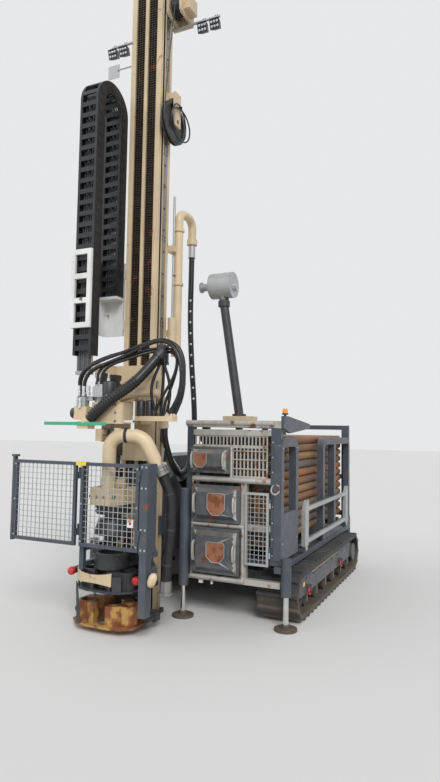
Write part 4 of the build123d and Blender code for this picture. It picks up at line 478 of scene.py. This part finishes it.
def cord(name, body, diameter, points,
         replaces=None, material=RUBBER, with_pieces=()):
    """A free hose or rope: one smooth curve with a route's points, in millimetres, as its control points."""
    data = bpy.data.curves.new(name, "CURVE")
    data.dimensions = "3D"
    spline = data.splines.new("NURBS")
    spline.points.add(len(points) - 1)
    for point, place in zip(spline.points, points):
        point.co = (*at(*place), 1)
    spline.order_u = 3
    spline.use_endpoint_u = True
    spline.resolution_u = 10
    piece = bpy.data.objects.new(name, data)
    bpy.context.collection.objects.link(piece)
    mesh = bpy.data.meshes.new_from_object(piece)
    line = [Vector((v.co.x * 1000 - SHIFT[0], v.co.y * 1000 - SHIFT[1], v.co.z * 1000))
            for v in mesh.vertices]
    data.bevel_depth = diameter / 2000
    data.bevel_resolution = 4
    data.use_fill_caps = True
    data.materials.append(material)
    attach(piece, body)
    if replaces:
        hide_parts(replaces)
    extras = list(with_pieces) + [make(line) for make in EXTRAS.get(name, ())]


def places_along(line, first, pitch, last):
    """Points and directions at even distances along a line of points."""
    found, gone, wanted = [], 0.0, first
    for a, b in zip(line, line[1:]):
        run = (b - a).length
        while wanted <= gone + run and wanted <= last:
            found.append((a.lerp(b, (wanted - gone) / run), (b - a).normalized()))
            wanted += pitch
        gone += run
    return found


def ribs(line):
    """The rings that make the wide hose ribbed."""
    form = Form()
    for place, way in places_along(line, 40, 27, 560):
        form.ring(place, way, 47, 7, sides=24)
    return form.make("ribbed_hose_ribs", "carriage", RUBBER, "hose_rubber", smooth=True)


def sleeve(name, body, radius, reach, material):
    """A plain sleeve round a hose's first run."""
    def build(line):
        places = [place for place, _ in places_along(line, 0, 20, reach)]
        form = Form().pipe(places, radius, 20)
        form.ring(places[-1], places[-1] - places[-2], radius, 4)
        return form.make(name, body, material, "bare_steel", bevel=1, smooth=True)
    return build


def studs(line):
    """Pale clips down the front of the rotary hose."""
    form = Form()
    out = Vector((0.45, -1, 0)).normalized()
    for place, _ in places_along(line, 620, 118, 1750):
        form.cap(place + out * 27, place + out * 34, 13, 3, sides=12)
    return form.make("rotary_hose_clips", "mast", ZINC, "galvanised", smooth=True)


def bands(name, body, radius, pitch):
    """Bands that tie a sheath round a hose."""
    def build(line):
        form = Form()
        for place, way in places_along(line, 180, pitch, math.inf):
            form.bar(place - way * 6, place + way * 6, radius, 16)
        return form.make(name, body, DARK, "hose_rubber", bevel=1)
    return build


EXTRAS = {
    "rotary_hose_line": (studs, sleeve("rotary_hose_sleeve", "mast", 37, 150, ZINC)),
    "discharge_hose_line": (bands("discharge_hose_bands", "lower_head", 51, 310),),
    "ribbed_hose_line": (ribs,),
    "arch_hose_outer_line": (bands("arch_outer_bands", "carriage", 20, 170),),
    "arch_hose_inner_line": (bands("arch_inner_bands", "carriage", 20, 190),),
}

cord("rotary_hose_line", "mast", 60, [
    (245, 1000, 3818), (245, 1000, 3480), (247, 985, 3000), (248, 1040, 2500), (252, 1110, 2100),
    (258, 1120, 1780), (266, 1050, 1530), (280, 900, 1370), (300, 700, 1350), (322, 530, 1450),
    (340, 400, 1590), (348, 320, 1715), (348, 300, 1823)], replaces="rotary_hose")
cord("discharge_hose_line", "lower_head", 96, [
    (503.4, 19.2, 1395.3), (557.9, 46.5, 1274.9), (580, 54, 1130), (580, 50, 950), (566, 52, 770),
    (550, 46, 610), (550, 46, 470)], replaces="discharge_hose",
    with_pieces=[nodes["discharge_coupling"]])
cord("ribbed_hose_line", "carriage", 96, [
    (-120, -232, 1890), (60, -236, 2050), (250, -140, 2190), (345, -50, 2325), (420, 32, 2464)],
    replaces="ribbed_hose")
cord("arch_hose_outer_line", "carriage", 34, [
    (-276, -181, 2116), (-282, -182, 2215), (-250, -178, 2325), (-160, -160, 2405), (-30, -120, 2465),
    (120, -60, 2512), (270, 10, 2580), (400, 75, 2624), (500, 88, 2622), (600, 94, 2566),
    (652, 96, 2462), (664, 96, 2330), (662, 94, 2180), (636, 92, 2056), (590, 70, 1945)],
    replaces="arch_hose_outer")
cord("arch_hose_inner_line", "carriage", 34, [
    (-228, -181, 2116), (-233, -184, 2200), (-205, -186, 2290), (-125, -178, 2355), (-5, -145, 2405),
    (130, -95, 2465), (265, -35, 2545), (385, 25, 2610), (485, 40, 2614), (575, 42, 2560),
    (640, 38, 2460), (670, 34, 2330), (668, 32, 2190), (625, 34, 2055), (545, 38, 1950)],
    replaces="arch_hose_inner")
cord("arch_hose_mid", "carriage", 26, [
    (-262, -214, 2196), (-266, -216, 2250), (-240, -209, 2318), (-160, -192, 2382), (-15, -152, 2446),
    (128, -100, 2500), (268, -35, 2574), (395, 40, 2630), (495, 62, 2632), (588, 66, 2576),
    (648, 66, 2470), (668, 64, 2330), (666, 62, 2185), (632, 62, 2056), (567, 54, 1950)])
cord("valve_hose_a", "carriage", 26, [
    (-110, -150, 2206), (-112, -150, 2300), (-60, -142, 2376), (40, -112, 2425), (160, -58, 2472),
    (280, -2, 2524), (372, 48, 2548), (417, 60, 2548)])
cord("valve_hose_b", "carriage", 26, [
    (-52, -168, 2206), (-54, -170, 2282), (-10, -168, 2352), (70, -142, 2402), (180, -88, 2442),
    (290, -30, 2490), (366, 34, 2519), (417, 46, 2519)])
cord("junction_hose_a", "carriage", 26, [
    (491, 70, 2546), (536, 70, 2546), (600, 68, 2482), (606, 62, 2392), (588, 52, 2302), (548, 44, 2222),
    (500, 42, 2145), (450, 48, 2072), (408, 56, 2000), (390, 58, 1927)])
cord("junction_hose_b", "carriage", 26, [
    (491, 94, 2518), (536, 95, 2518), (588, 96, 2462), (590, 98, 2378), (566, 98, 2290), (536, 96, 2200),
    (500, 88, 2110), (474, 78, 2020), (466, 76, 1927)])
cord("bundle_hose_a", "carriage", 28, [
    (430, 62, 2470), (428, 60, 2390), (386, 34, 2290), (362, 20, 2160), (380, 28, 2040),
    (420, 50, 1927)])
cord("bundle_hose_b", "carriage", 28, [
    (472, 64, 2470), (474, 62, 2390), (512, 72, 2290), (534, 80, 2160), (524, 76, 2040),
    (500, 66, 1927)])
cord("bundle_hose_c", "carriage", 28, [
    (448, 92, 2470), (450, 94, 2380), (446, 98, 2250), (434, 96, 2100), (434, 88, 1927)])
cord("hoist_rope", "mast", 12, [
    (268, 476, 6225), (262, 420, 5800), (257, 372, 5400), (252, 318, 4965)],
    material=DARK)


# Mast

MAST_SIDE = 190.0
FEED_PITCH, FEED_LINKS = 25.4, 234
CHAIN_MIDDLE = (170.0, 5040.0)          # Y and Z of the energy chain's bend
CHAIN_RADIUS = 200.0
CHAIN_PITCH = 110.0
CHAIN_RUNS = ((-1, 23), (1, 17))        # side of the bend, and links that hang on it
CHAIN_HOSES = ((-414, 13), (-388, 10), (-362, 13), (-336, 9), (-310, 12), (-286, 10))   # X and radius


def on_bend(share):
    """Y and Z of a point of the energy chain's bend, from its front foot to its back one."""
    y, z = CHAIN_MIDDLE
    return y - CHAIN_RADIUS * math.cos(math.pi * share), z + CHAIN_RADIUS * math.sin(math.pi * share)


def feed_links():
    """The rungs and side plates of the two feed chains."""
    form = Form()
    for side in (-1, 1):
        left = 24 if side > 0 else -119
        for i in range(FEED_LINKS):
            z = 612 + i * FEED_PITCH
            form.bar((left + 3, 388, z), (left + 92, 388, z), 7, 6)
            for x in (left + 2, left + 30, left + 60, left + 86):
                form.box((x, x + 6), (380, 404), (z - 11, z + 11))
    form.make("feed_chain_links", "mast", GREASE, "chain_steel")


def mast_bolts():
    """Bolts up the side strip, but for the places of the rope sheave and the winch."""
    form = Form()
    for i in range(19):
        z = 2470 + i * 226
        if not (4850 < z < 5280 or 6120 < z < 6340):
            form.bolt((MAST_SIDE, 480, z), (1, 0, 0), 10, 6)
    form.make("mast_bolts", "mast", DARK, "bare_steel")


def mast_joints():
    """Dark bands where the lengths of the side strip meet."""
    form = Form()
    for z in (2860, 3740, 4640, 5560):
        for y in (447, 499):
            form.box((MAST_SIDE, MAST_SIDE + 3), (y, y + 14), (z - 30, z - 8))
            form.box((MAST_SIDE, MAST_SIDE + 3), (y, y + 14), (z + 8, z + 30))
    form.make("mast_strip_joints", "mast", DARK, "bare_steel", bevel=1)


def chain_lines():
    """The hoses that lie in the energy chain and hang below its front foot."""
    y = CHAIN_MIDDLE[0]
    form = Form()
    for x, radius in CHAIN_HOSES:
        arc = [(x, *on_bend(k / 14)) for k in range(15)]
        form.pipe([(x, y - CHAIN_RADIUS, 2345), *arc, (x, y + CHAIN_RADIUS, 3160)], radius, 8)
    form.make("energy_chain_hoses", "mast", CABLE, "hose_rubber", smooth=True)


def chain_clamp():
    """The plate that holds the hoses below the chain's foot, hung on two flat bars."""
    form = Form().box((-440, -262), (-58, -6), (2318, 2352))
    for x in (-440, -268):
        form.box((x, x + 6), (-40, -20), (2340, 2530))
    form.make("energy_chain_clamp", "mast", ZINC, "galvanised", bevel=2)


def chain_joints():
    """The round link joints on both sides of the energy chain."""
    y, z = CHAIN_MIDDLE
    form = Form()
    places = [(y + side * CHAIN_RADIUS, z - i * CHAIN_PITCH) for side, count in CHAIN_RUNS
              for i in range(count)]
    places += [on_bend(k / 6) for k in range(1, 6)]
    for a, b in places:
        for x, way in ((-455, -1), (-245, 1)):
            form.turned((x, a, b), (x + 3 * way, a, b), ((0, 38), (0.7, 38), (1, 36)), 20)
            form.turned((x + 3 * way, a, b), (x + 5 * way, a, b), ((0, 12), (1, 10)), 10)
    form.make("energy_chain_joints", "mast", NYLON, "chain_plastic")


def chain_teeth():
    """Separators that stand between the hoses at every bar of the chain."""
    y, z = CHAIN_MIDDLE
    form = Form()
    for side, count in CHAIN_RUNS:
        width = sorted((y + side * (CHAIN_RADIUS - 54), y + side * (CHAIN_RADIUS + 54)))
        for i in range(count):
            middle = z - (i + 0.5) * CHAIN_PITCH
            for x in (-401, -349, -298):
                form.box((x - 3, x + 3), width, (middle - 20, middle + 20))
    form.make("energy_chain_separators", "mast", NYLON, "chain_plastic")


def side_plate():
    """A blank pale plate on a rod left of the mast."""
    form = Form().box((-607, -462), (556, 562), (5650, 5800))
    form.bar((-181, 552, 5730), (-480, 552, 5730), 8)
    form.make("mast_side_plate", "mast", ZINC, "galvanised", bevel=1)


def lamp_lenses():
    """Six small lenses on each lamp, with a bar over and under them and two rods behind."""
    lenses, rims = Form(), Form()
    out = Vector((0, -1, -0.35)).normalized()
    up = Vector((0, -0.35, 1)).normalized()
    for x in (-580, -440, 530, 670):
        middle = Vector((x, 584, 5960))
        for i in (-1, 0, 1):
            for k in (-1, 1):
                base = middle + Vector((i * 32, 0, 0)) + up * (k * 22)
                lenses.cap(base - out * 2, base + out * 5, 13, 3, 12)
        for side in (-1, 1):
            edge = middle + up * (side * 49)
            rims.bar(edge - Vector((50, 0, 0)), edge + Vector((50, 0, 0)), 5, 8)
            rims.bar((x - 12 * side, 630, 6000), (x - 12 * side, 630, 6085), 6, 8)
    lenses.make("lamp_lenses", "mast", LENS, "lamp_plastic", smooth=True)
    rims.make("lamp_rims", "mast", DARK, "lamp_plastic", smooth=True)


def winch_rope():
    """The rope's turns on the drum, between its flanges."""
    form = Form()
    for i in range(8):
        form.ring((234 + i * 13, 560, 6230), (1, 0, 0), 83, 6, sides=28)
    form.make("winch_rope_turns", "winch_drum", DARK, "bare_steel", smooth=True)


def sheave_loops():
    """Two thin rings of cable that hang beside the rope sheave on a peg."""
    form = Form()
    form.ring((322, 520, 4950), (1, 0.12, 0), 178, 8, sides=40)
    form.ring((334, 526, 4925), (1, -0.1, 0.05), 170, 8, sides=40)
    form.bar((303, 520, 5108), (350, 520, 5108), 9)
    form.make("cable_loops", "mast", RUBBER, "hose_rubber", smooth=True)


for build in (feed_links, mast_bolts, mast_joints, chain_lines, chain_clamp, chain_joints, chain_teeth,
              side_plate, lamp_lenses, winch_rope, sheave_loops):
    build()


# Heads

CARTRIDGES = ((-262, -214, 2106), (-168, -196, 2105), (-212, -210, 2100), (-286, -212, 2004),
              (-240, -222, 1990))       # the middles of their lower ends


def bolt_circle(form, middle, radius, count, size, height):
    """Bolts evenly round an upright axis."""
    x, y, z = middle
    for k in range(count):
        a = math.tau * k / count
        form.bolt((x + radius * math.cos(a), y + radius * math.sin(a), z), (0, 0, 1), size, height)


def valves():
    """The grey valve body on the carriage, its silver cartridges and the dark filter beside them."""
    body = Form().box((-132, -24), (-190, -140), (2091, 2190)).box((-196, -130), (-186, -150), (2060, 2100))
    body.bar((-110, -150, 2188), (-110, -150, 2208), 21).bar((-52, -168, 2188), (-52, -168, 2208), 21)
    body.box((-24, 60), (-160, -120), (2096, 2130)).box((30, 56), (-160, 305), (2100, 2124))
    body.make("valve_body", "carriage", ZINC, "galvanised", bevel=3)
    silver = Form()
    profile = ((0, 17), (0.4, 17), (0.42, 12), (0.6, 12), (0.62, 16), (1, 13))
    for x, y, z in CARTRIDGES:
        silver.turned((x, y, z), (x, y, z + 92), profile, 12)
    silver.turned((8, -140, 2226), (8, -140, 2316), ((0, 15), (0.5, 15), (0.55, 10), (1, 9)), 12)
    silver.make("valve_cartridges", "carriage", CHROME, "chrome_rod", smooth=True)
    dark = Form().cap((20, -140, 2124), (20, -140, 2236), 58, 14, 28)
    dark.make("carriage_filter", "carriage", DARK, "frame_paint", smooth=True)


def side_motors():
    """The two dark motors right of the upper head, and the pale bar before them."""
    form = Form()
    for x, y in ((250, 40), (330, 60)):
        form.cap((x, y, 1926), (x, y, 2070), 38, 8, 24)
        form.ring((x, y, 1990), (0, 0, 1), 38, 3)
    form.make("side_motors", "carriage", BLACK, "hose_rubber", smooth=True)
    rail = Form().box((262, 276), (-112, -98), (1860, 2056)).box((150, 276), (-112, -98), (1862, 1884))
    rail.box((238, 274), (-108, -102), (1752, 1864))
    rail.make("side_rail", "carriage", WHITE, "white_paint", bevel=2)


def head_dressing():
    """The heads' bolts, the dark end covers, the blank green bar with its clip, and the spindle's rings."""
    bolts = Form()
    bolt_circle(bolts, (0, 0, 1270), 136, 12, 9, 8)
    for x in (-140, 140):
        for z in (1874, 1950, 2020):
            bolts.bolt((x * 0.8, -170, z), (0, -1, 0), 11, 8)
    for x, y in ((-140, 20), (140, 20), (140, 180), (-140, 180), (60, 60), (150, -60)):
        bolts.bolt((x, y, 2045), (0, 0, 1), 12, 10)
    bolts.make("head_bolts", "carriage", STEEL, "bare_steel")
    dark = Form().cap((-309, -179, 1945), (-356, -179, 1945), 50, 8, 28)
    dark.cap((-100, -95, 2235), (-100, -95, 2300), 40, 6, 24)
    dark.make("head_end_covers", "carriage", BLACK, "hose_rubber", smooth=True)
    bar = Form().box((-600, 88), (-285, -277), (1832, 1862))
    bar.make("blank_bar", "carriage", GREEN, "beige_paint", bevel=2)
    clip = Form().box((-250, -140), (-278, -268), (1836, 1858))
    clip.make("blank_bar_clip", "carriage", DARK, "bare_steel", bevel=1)
    rings = Form()
    for z in (1690, 1746, 1800):
        rings.ring((0, -20, z), (0, 0, 1), 118, 5, 32)
    rings.make("spindle_guard_rings", "carriage", DARK, "bare_steel", smooth=True)


def lower_dressing():
    """The gooseneck's band and strap, the coupling's rings, bolts and lever, and the lower head's ports."""
    band = Form().bar((178, -104, 1745), (206, -96, 1745), 66, 28)
    band.box((172, 212), (-112, -84), (1800, 1818))
    band.make("gooseneck_band", "lower_head", BLACK, "bare_steel", bevel=2)
    start, end = Vector((465, 0, 1480)), Vector((503.4, 19.2, 1395.3))
    way = (end - start).normalized()
    form = Form()
    for share in (0.12, 0.5, 0.88):
        form.ring(start.lerp(end, share), way, 74, 6, 28)
    across = way.orthogonal().normalized()
    for near, far in zip(*(circle(place, across, way.cross(across), 76, 6) for place in (start, end))):
        form.bar(near, far, 6, 8)
    lever = start + Vector((66, -40, 40))
    form.bar(lever, lever + Vector((26, -20, 120)), 10, 8)
    form.make("discharge_clamp", "lower_head", STEEL, "bare_steel", smooth=True)
    ports = Form()
    for x in (-120, -40, 40, 120):
        ports.cap((x, -190 + abs(x) * 0.25, 1195), (x, -222 + abs(x) * 0.25, 1195), 16, 4, 12)
    bolt_circle(ports, (0, 0, 1349), 104, 10, 8, 8)
    ports.make("lower_head_ports", "lower_head", STEEL, "bare_steel")


for build in (valves, side_motors, head_dressing, lower_dressing):
    build()


# Foot of the mast and its guard

SHIELD_CURVE = ((-286, -122), (-250, -156), (-205, -186), (-150, -203), (-90, -212), (0, -214), (90, -214),
                (138, -210))            # X and Y of the curved plate's inner face


def clamp_dressing():
    """The cylinders with red caps, the beige curved plate on three posts, two dark plates, and the bolts."""
    grey, red, bolts = Form(), Form(), Form()
    for x, z in ((-392, 478), (314, 466)):
        grey.bar((x, 112, z), (x, -60, z), 32, 24)
        grey.ring((x, 60, z), (0, 1, 0), 32, 4)
        red.cap((x, -60, z), (x, -104, z), 37, 16, 24)
    for x in (-376, 376):
        grey.bar((x, 112, 113), (x, 10, 113), 30, 24)
    post = [(152, -202, 379), (228, -175, 379), (228, -175, 506), (152, -202, 506)]
    grey.plate(post, (0, 0, 0), Vector((0.33, -0.94, 0)), 9)
    outline = [(-318, -86, 396), (-272, -132, 396), (-172, -202, 70), (-222, -186, 70)]
    grey.plate(outline, (0, 0, 0), Vector((-0.55, -0.83, 0)), 10)
    rings = []
    for x, y in SHIELD_CURVE:
        share = abs(x + 74) / 212
        low, high = 436 - 16 * share * share, 508 + 30 * share * share
        rings.append([(x, y, low), (x, y, high), (x + 3, y + 12, high), (x + 3, y + 12, low)])
    Form().sweep(rings).make("clamp_shield", "mast", BEIGE, "beige_paint", bevel=2)
    for x, y in ((-248, -146), (-60, -204), (118, -202)):
        grey.box((x - 9, x + 9), (y - 4, y + 6), (379, 470))
    grey.make("clamp_cylinders", "mast", DARK, "frame_paint", bevel=1, smooth=True)
    red.make("clamp_caps", "mast", RED, "beige_paint", smooth=True)
    for x in (-150, 150):
        for z in (110, 230, 330, 430, 540):
            bolts.bolt((x, 232 if z in (330, 540) else 205, z), (0, -1, 0), 11, 8)
    for x in (-190, -120, 120, 190):
        for y in (355, 560):
            bolts.bolt((x, y - 30, 40), (0, 0, 1), 12, 10)
    bolts.make("foot_bolts", "mast", STEEL, "bare_steel")


def guard_dressing():
    """The oval float on the right column, the wing's strap, the door's blank tag, and the frames' bolts."""
    profile = ((0, 8), (0.1, 28), (0.3, 38), (0.7, 38), (0.9, 28), (1, 8))
    float_form = Form().turned((535, -212, 470), (585, -212, 590), profile)
    float_form.bar((521, -212, 530), (545, -212, 530), 10, 10)
    float_form.make("column_float", "mast", BEIGE, "beige_paint", smooth=True)
    tag = Form().box((330, 392), (-266, -264), (960, 1030))
    tag.make("door_tag", "guard_door", WHITE, "white_paint", bevel=1)
    dot = Form().bar((361, -266, 995), (361, -267.5, 995), 13, 16)
    dot.make("door_tag_spot", "guard_door", RED, "white_paint")
    strap = Form().box((-240, -110), (-266, -228), (1501, 1505)).box((-230, -120), (-268, -265), (1470, 1504))
    strap.make("wing_strap", "mast", YELLOW, "beige_paint", bevel=1)
    for name, body, columns, heights, radius, height in (
            ("wing_bolts", "guard_wing", (-940, -260), (800, 1130, 1460), 9, 6),
            ("door_bolts", "guard_door", (-164, 421), (800, 1130, 1460), 9, 6),
            ("column_bolts", "mast", (470, 510), (780, 950, 1300, 1480), 10, 7)):
        bolts = Form()
        for z in heights:
            for x in columns:
                bolts.bolt((x, -262, z), (0, -1, 0), radius, height)
        bolts.make(name, body, ZINC, "bare_steel")


clamp_dressing()
guard_dressing()


# Rack

# X and Z of each shield's middle, its width and its height
SHIELDS = ((605.8, 1517.5, 135, 143), (782.6, 1098.5, 185, 209), (782.6, 645, 190, 190))
SHIELD_CUT, SHIELD_TOP_CUT = 0.29, 0.08         # shares of its size cut off its lower and upper corners
RAILS = (                                       # start, end and radius
    ((404, 664, 1878), (1330, 664, 1878), 27), ((480, 662, 1846), (1300, 662, 1846), 11),
    ((486, 664, 1330), (1300, 664, 1330), 24), ((486, 664, 1650), (890, 664, 1650), 11),
    ((486, 660, 892), (1046, 660, 892), 19), ((486, 660, 384), (1046, 660, 384), 22),
    ((1028, 662, 384), (1028, 662, 892), 18), ((896, 662, 1345), (896, 662, 1650), 12),
    ((484, 664, 384), (484, 664, 1330), 10),
)


def shields():
    """The eight-sided rusty shields on the chests, each in its pale rim."""
    rust, rims = Form(), Form()
    for x, z, width, height in SHIELDS:
        a, b, cut = width / 2, height / 2, SHIELD_CUT
        top = SHIELD_TOP_CUT * width
        outline = [(-a + top, b), (a - top, b), (a, b - top), (a, -b + height * cut), (a - width * cut, -b),
                   (-a + width * cut, -b), (-a, -b + height * cut), (-a, b - top)]
        rust.plate([(x + p, 562, z + q) for p, q in outline], (0, 0, 0), (0, 1, 0), 9)
        for (p, q), (r, s) in zip(outline, outline[1:] + outline[:1]):
            rims.bar((x + p, 563, z + q), (x + r, 563, z + s), 4, 8)
    rust.make("chest_shields", "chassis", RUSTY, "rusty_steel", bevel=1)
    rims.make("chest_shield_rims", "chassis", ZINC, "galvanised", smooth=True)


def handles():
    """Bent round handles over the chests' plain grips."""
    form = Form()
    for x, z, half in GRIPS:
        form.pipe([(x, 600, z + half + 8), (x, 566, z + half), (x, 553, z + half - 16), (x, 548, z),
                   (x, 553, z - half + 16), (x, 566, z - half), (x, 600, z - half - 8)], 9, 10)
    form.make("chest_handles", "chassis", WORN, "galvanised", smooth=True)


def rack_pipes():
    """The worn round rails on the rack's face, the hook ring, and small blank plates."""
    form = Form()
    for start, end, radius in RAILS:
        form.bar(start, end, radius, 20)
    form.ring((1352, 652, 1262), (-0.3, -1, 0.3), 46, 8, 28)
    form.bar((1352, 648, 1216), (1352, 672, 1216), 14, 12)
    form.make("rack_rails", "chassis", WORN, "galvanised", smooth=True)
    plates = Form()
    for z in (1655, 1214):
        plates.box((1366, 1396), (667, 670), (z, z + 18))
    for x, width in ((560, 40), (690, 16)):
        plates.box((x, x + width), (676, 700), (316, 353))
    plates.make("rack_small_plates", "chassis", WHITE, "white_paint", bevel=1)


def grid_rods():
    """Level rods behind the upright ones of the rack's upper grid."""
    form = Form()
    for z in (1440, 1528, 1610):
        form.bar((902, 678, z), (1260, 678, z), 6, 8)
    form.make("grid_cross_rods", "chassis", WORN, "galvanised", smooth=True)


def rod_ends():
    """The rims of the inner rods at both ends of the rack, and thin black discs of painted shade for the dark
    bores of all that show.
    """
    rims, bore_shade = Form(), Form()
    profile = ((0, 44), (0.85, 44), (1, 40))
    for column in range(ROD_COLUMNS):
        for row in range(ROD_ROWS):
            x = RODS_RIGHT - ROD_RADIUS - column * ROD_PITCH
            z = RODS_TOP - ROD_RADIUS - row * ROD_PITCH
            inner = 0 < column < ROD_COLUMNS - 1 and 0 < row < ROD_ROWS - 1
            if inner:
                rims.turned((x, 821, z), (x, 792, z), profile, 20)
                rims.turned((x, 3509, z), (x, 3538, z), profile, 20)
            front = 791.5 if inner else 789.5
            # Painted shade: a thin black disc at each end stands for the dark inside of the rod's bore
            bore_shade.bar((x, front, z), (x, front - 1, z), 31, 20)
            bore_shade.bar((x, 3540.5, z), (x, 3541.5, z), 31, 20)
    rims.make("inner_rod_ends", "chassis", RODS, "rusty_steel", smooth=True)
    bore_shade.make("rod_bore_shade", "chassis", BLACK, "chain_plastic")


def rack_bolts():
    """Bolts on the rack's right post, its side frames and the side guard's uprights."""
    form = Form()
    for z in (1700, 1560, 1420, 1100, 950, 800, 650):
        form.bolt((1320, 670, z), (0, -1, 0), 9, 6)
    for y in (700, 1150, 2230, 2740, 3560):
        for z in (760, 1350, 1640):
            form.bolt((1410, y, z), (1, 0, 0), 10, 5)
    for y in (1310, 1400, 3170, 3260):
        form.bolt((1456, y + 8, 700), (1, 0, 0), 8, 4)
    form.make("rack_bolts", "chassis", ZINC, "bare_steel")


for build in (shields, handles, rack_pipes, grid_rods, rod_ends, rack_bolts):
    build()


# Crawler

CRAWLER_X, CRAWLER_HALF = 390, 1105     # X of its middle, and half its width over the side frames
HUBS, HUB_HEIGHT = (985, 3325), 245     # Y and Z of the end wheels' axles
TRACKS = (-560, 1340)
SHOE_PITCH, SHOES_ON_TOP = 57, 40


def crawler_dressing():
    """Red lifting rings in the lugs, blank reflectors and strips, hub bolts, and the shoes' bolts."""
    red, pale, hubs, shoes = Form(), Form(), Form(), Form()
    for side, x in ((1, 1518), (-1, -738)):
        for y in (1245, 2620):
            red.ring((x, y, 221), (1, 0, 0), 33, 9, 28)
        face = CRAWLER_X + side * CRAWLER_HALF
        pale.box(sorted((face, face + side * 2)), (1090, 1150), (290, 330))
        pale.box(sorted((face, face + side * 2)), (1400, 2500), (372, 380))
        for y in HUBS:
            inside = face - side * 21
            for k in range(8):
                a = math.tau * k / 8
                place = (inside, y + 62 * math.cos(a), HUB_HEIGHT + 62 * math.sin(a))
                hubs.bolt(place, (side, 0, 0), 10, 8)
            hubs.cap((inside, y, HUB_HEIGHT), (face - side * 2, y, HUB_HEIGHT), 40, 6, 24)
        for y in range(1200, 3200, 260):
            hubs.bolt((face, y, 350), (side, 0, 0), 10, 6)
    for x in TRACKS:
        for i in range(SHOES_ON_TOP):
            y = 1010 + i * SHOE_PITCH
            for dx in (-120, -60, 60, 120):
                shoes.bolt((x + dx, y, 466), (0, 0, 1), 8, 5)
    red.make("lifting_rings", "chassis", RED, "beige_paint", smooth=True)
    pale.make("blank_reflectors", "chassis", YELLOW, "beige_paint", bevel=1)
    hubs.make("hub_bolts", "chassis", DARK, "bare_steel")
    shoes.make("track_bolts", "chassis", IRON, "track_steel")


crawler_dressing()


# Studio

FLOOR_COLOR = (0.66, 0.65, 0.63, 1)
SURROUND_COLOR = (0.80, 0.81, 0.82, 1)  # what the camera and reflections see
LIGHT_COLOR = (0.80, 0.83, 0.87, 1)
LIGHT_STRENGTH = 0.75
SUNS = (("key", (50, 0, 35), 1.9, 25), ("fill", (62, 0, -60), 0.5, 60))     # turn, power and angle


def add_studio():
    """A pale floor, a pale surround for the camera and reflections, and soft light at a plain level."""
    bpy.ops.mesh.primitive_plane_add(size=120, location=(0, 0, -0.002))
    floor = bpy.context.object
    floor.name = "floor"
    ground = bpy.data.materials.new("floor")
    ground.use_nodes = True
    shader = ground.node_tree.nodes["Principled BSDF"]
    shader.inputs["Base Color"].default_value = FLOOR_COLOR
    shader.inputs["Roughness"].default_value = 0.9
    floor.data.materials.append(ground)
    world = bpy.data.worlds.new("studio")
    world.use_nodes = True
    tree = world.node_tree
    path = tree.nodes.new("ShaderNodeLightPath")
    pale = tree.nodes.new("ShaderNodeBackground")
    pale.inputs["Color"].default_value = SURROUND_COLOR
    light = tree.nodes["Background"]
    light.inputs["Color"].default_value = LIGHT_COLOR
    light.inputs["Strength"].default_value = LIGHT_STRENGTH
    pick = tree.nodes.new("ShaderNodeMixShader")
    seen = tree.nodes.new("ShaderNodeMath")
    seen.operation = "MAXIMUM"
    tree.links.new(path.outputs["Is Camera Ray"], seen.inputs[0])
    tree.links.new(path.outputs["Is Glossy Ray"], seen.inputs[1])
    tree.links.new(seen.outputs[0], pick.inputs[0])
    tree.links.new(light.outputs[0], pick.inputs[1])
    tree.links.new(pale.outputs[0], pick.inputs[2])
    tree.links.new(pick.outputs[0], tree.nodes["World Output"].inputs["Surface"])
    bpy.context.scene.world = world
    for name, turn, power, angle in SUNS:
        data = bpy.data.lights.new(name, "SUN")
        data.energy = power
        data.angle = math.radians(angle)
        lamp = bpy.data.objects.new(name, data)
        lamp.rotation_euler = [math.radians(v) for v in turn]
        bpy.context.collection.objects.link(lamp)
    bpy.context.scene.view_settings.view_transform = "Standard"


add_studio()
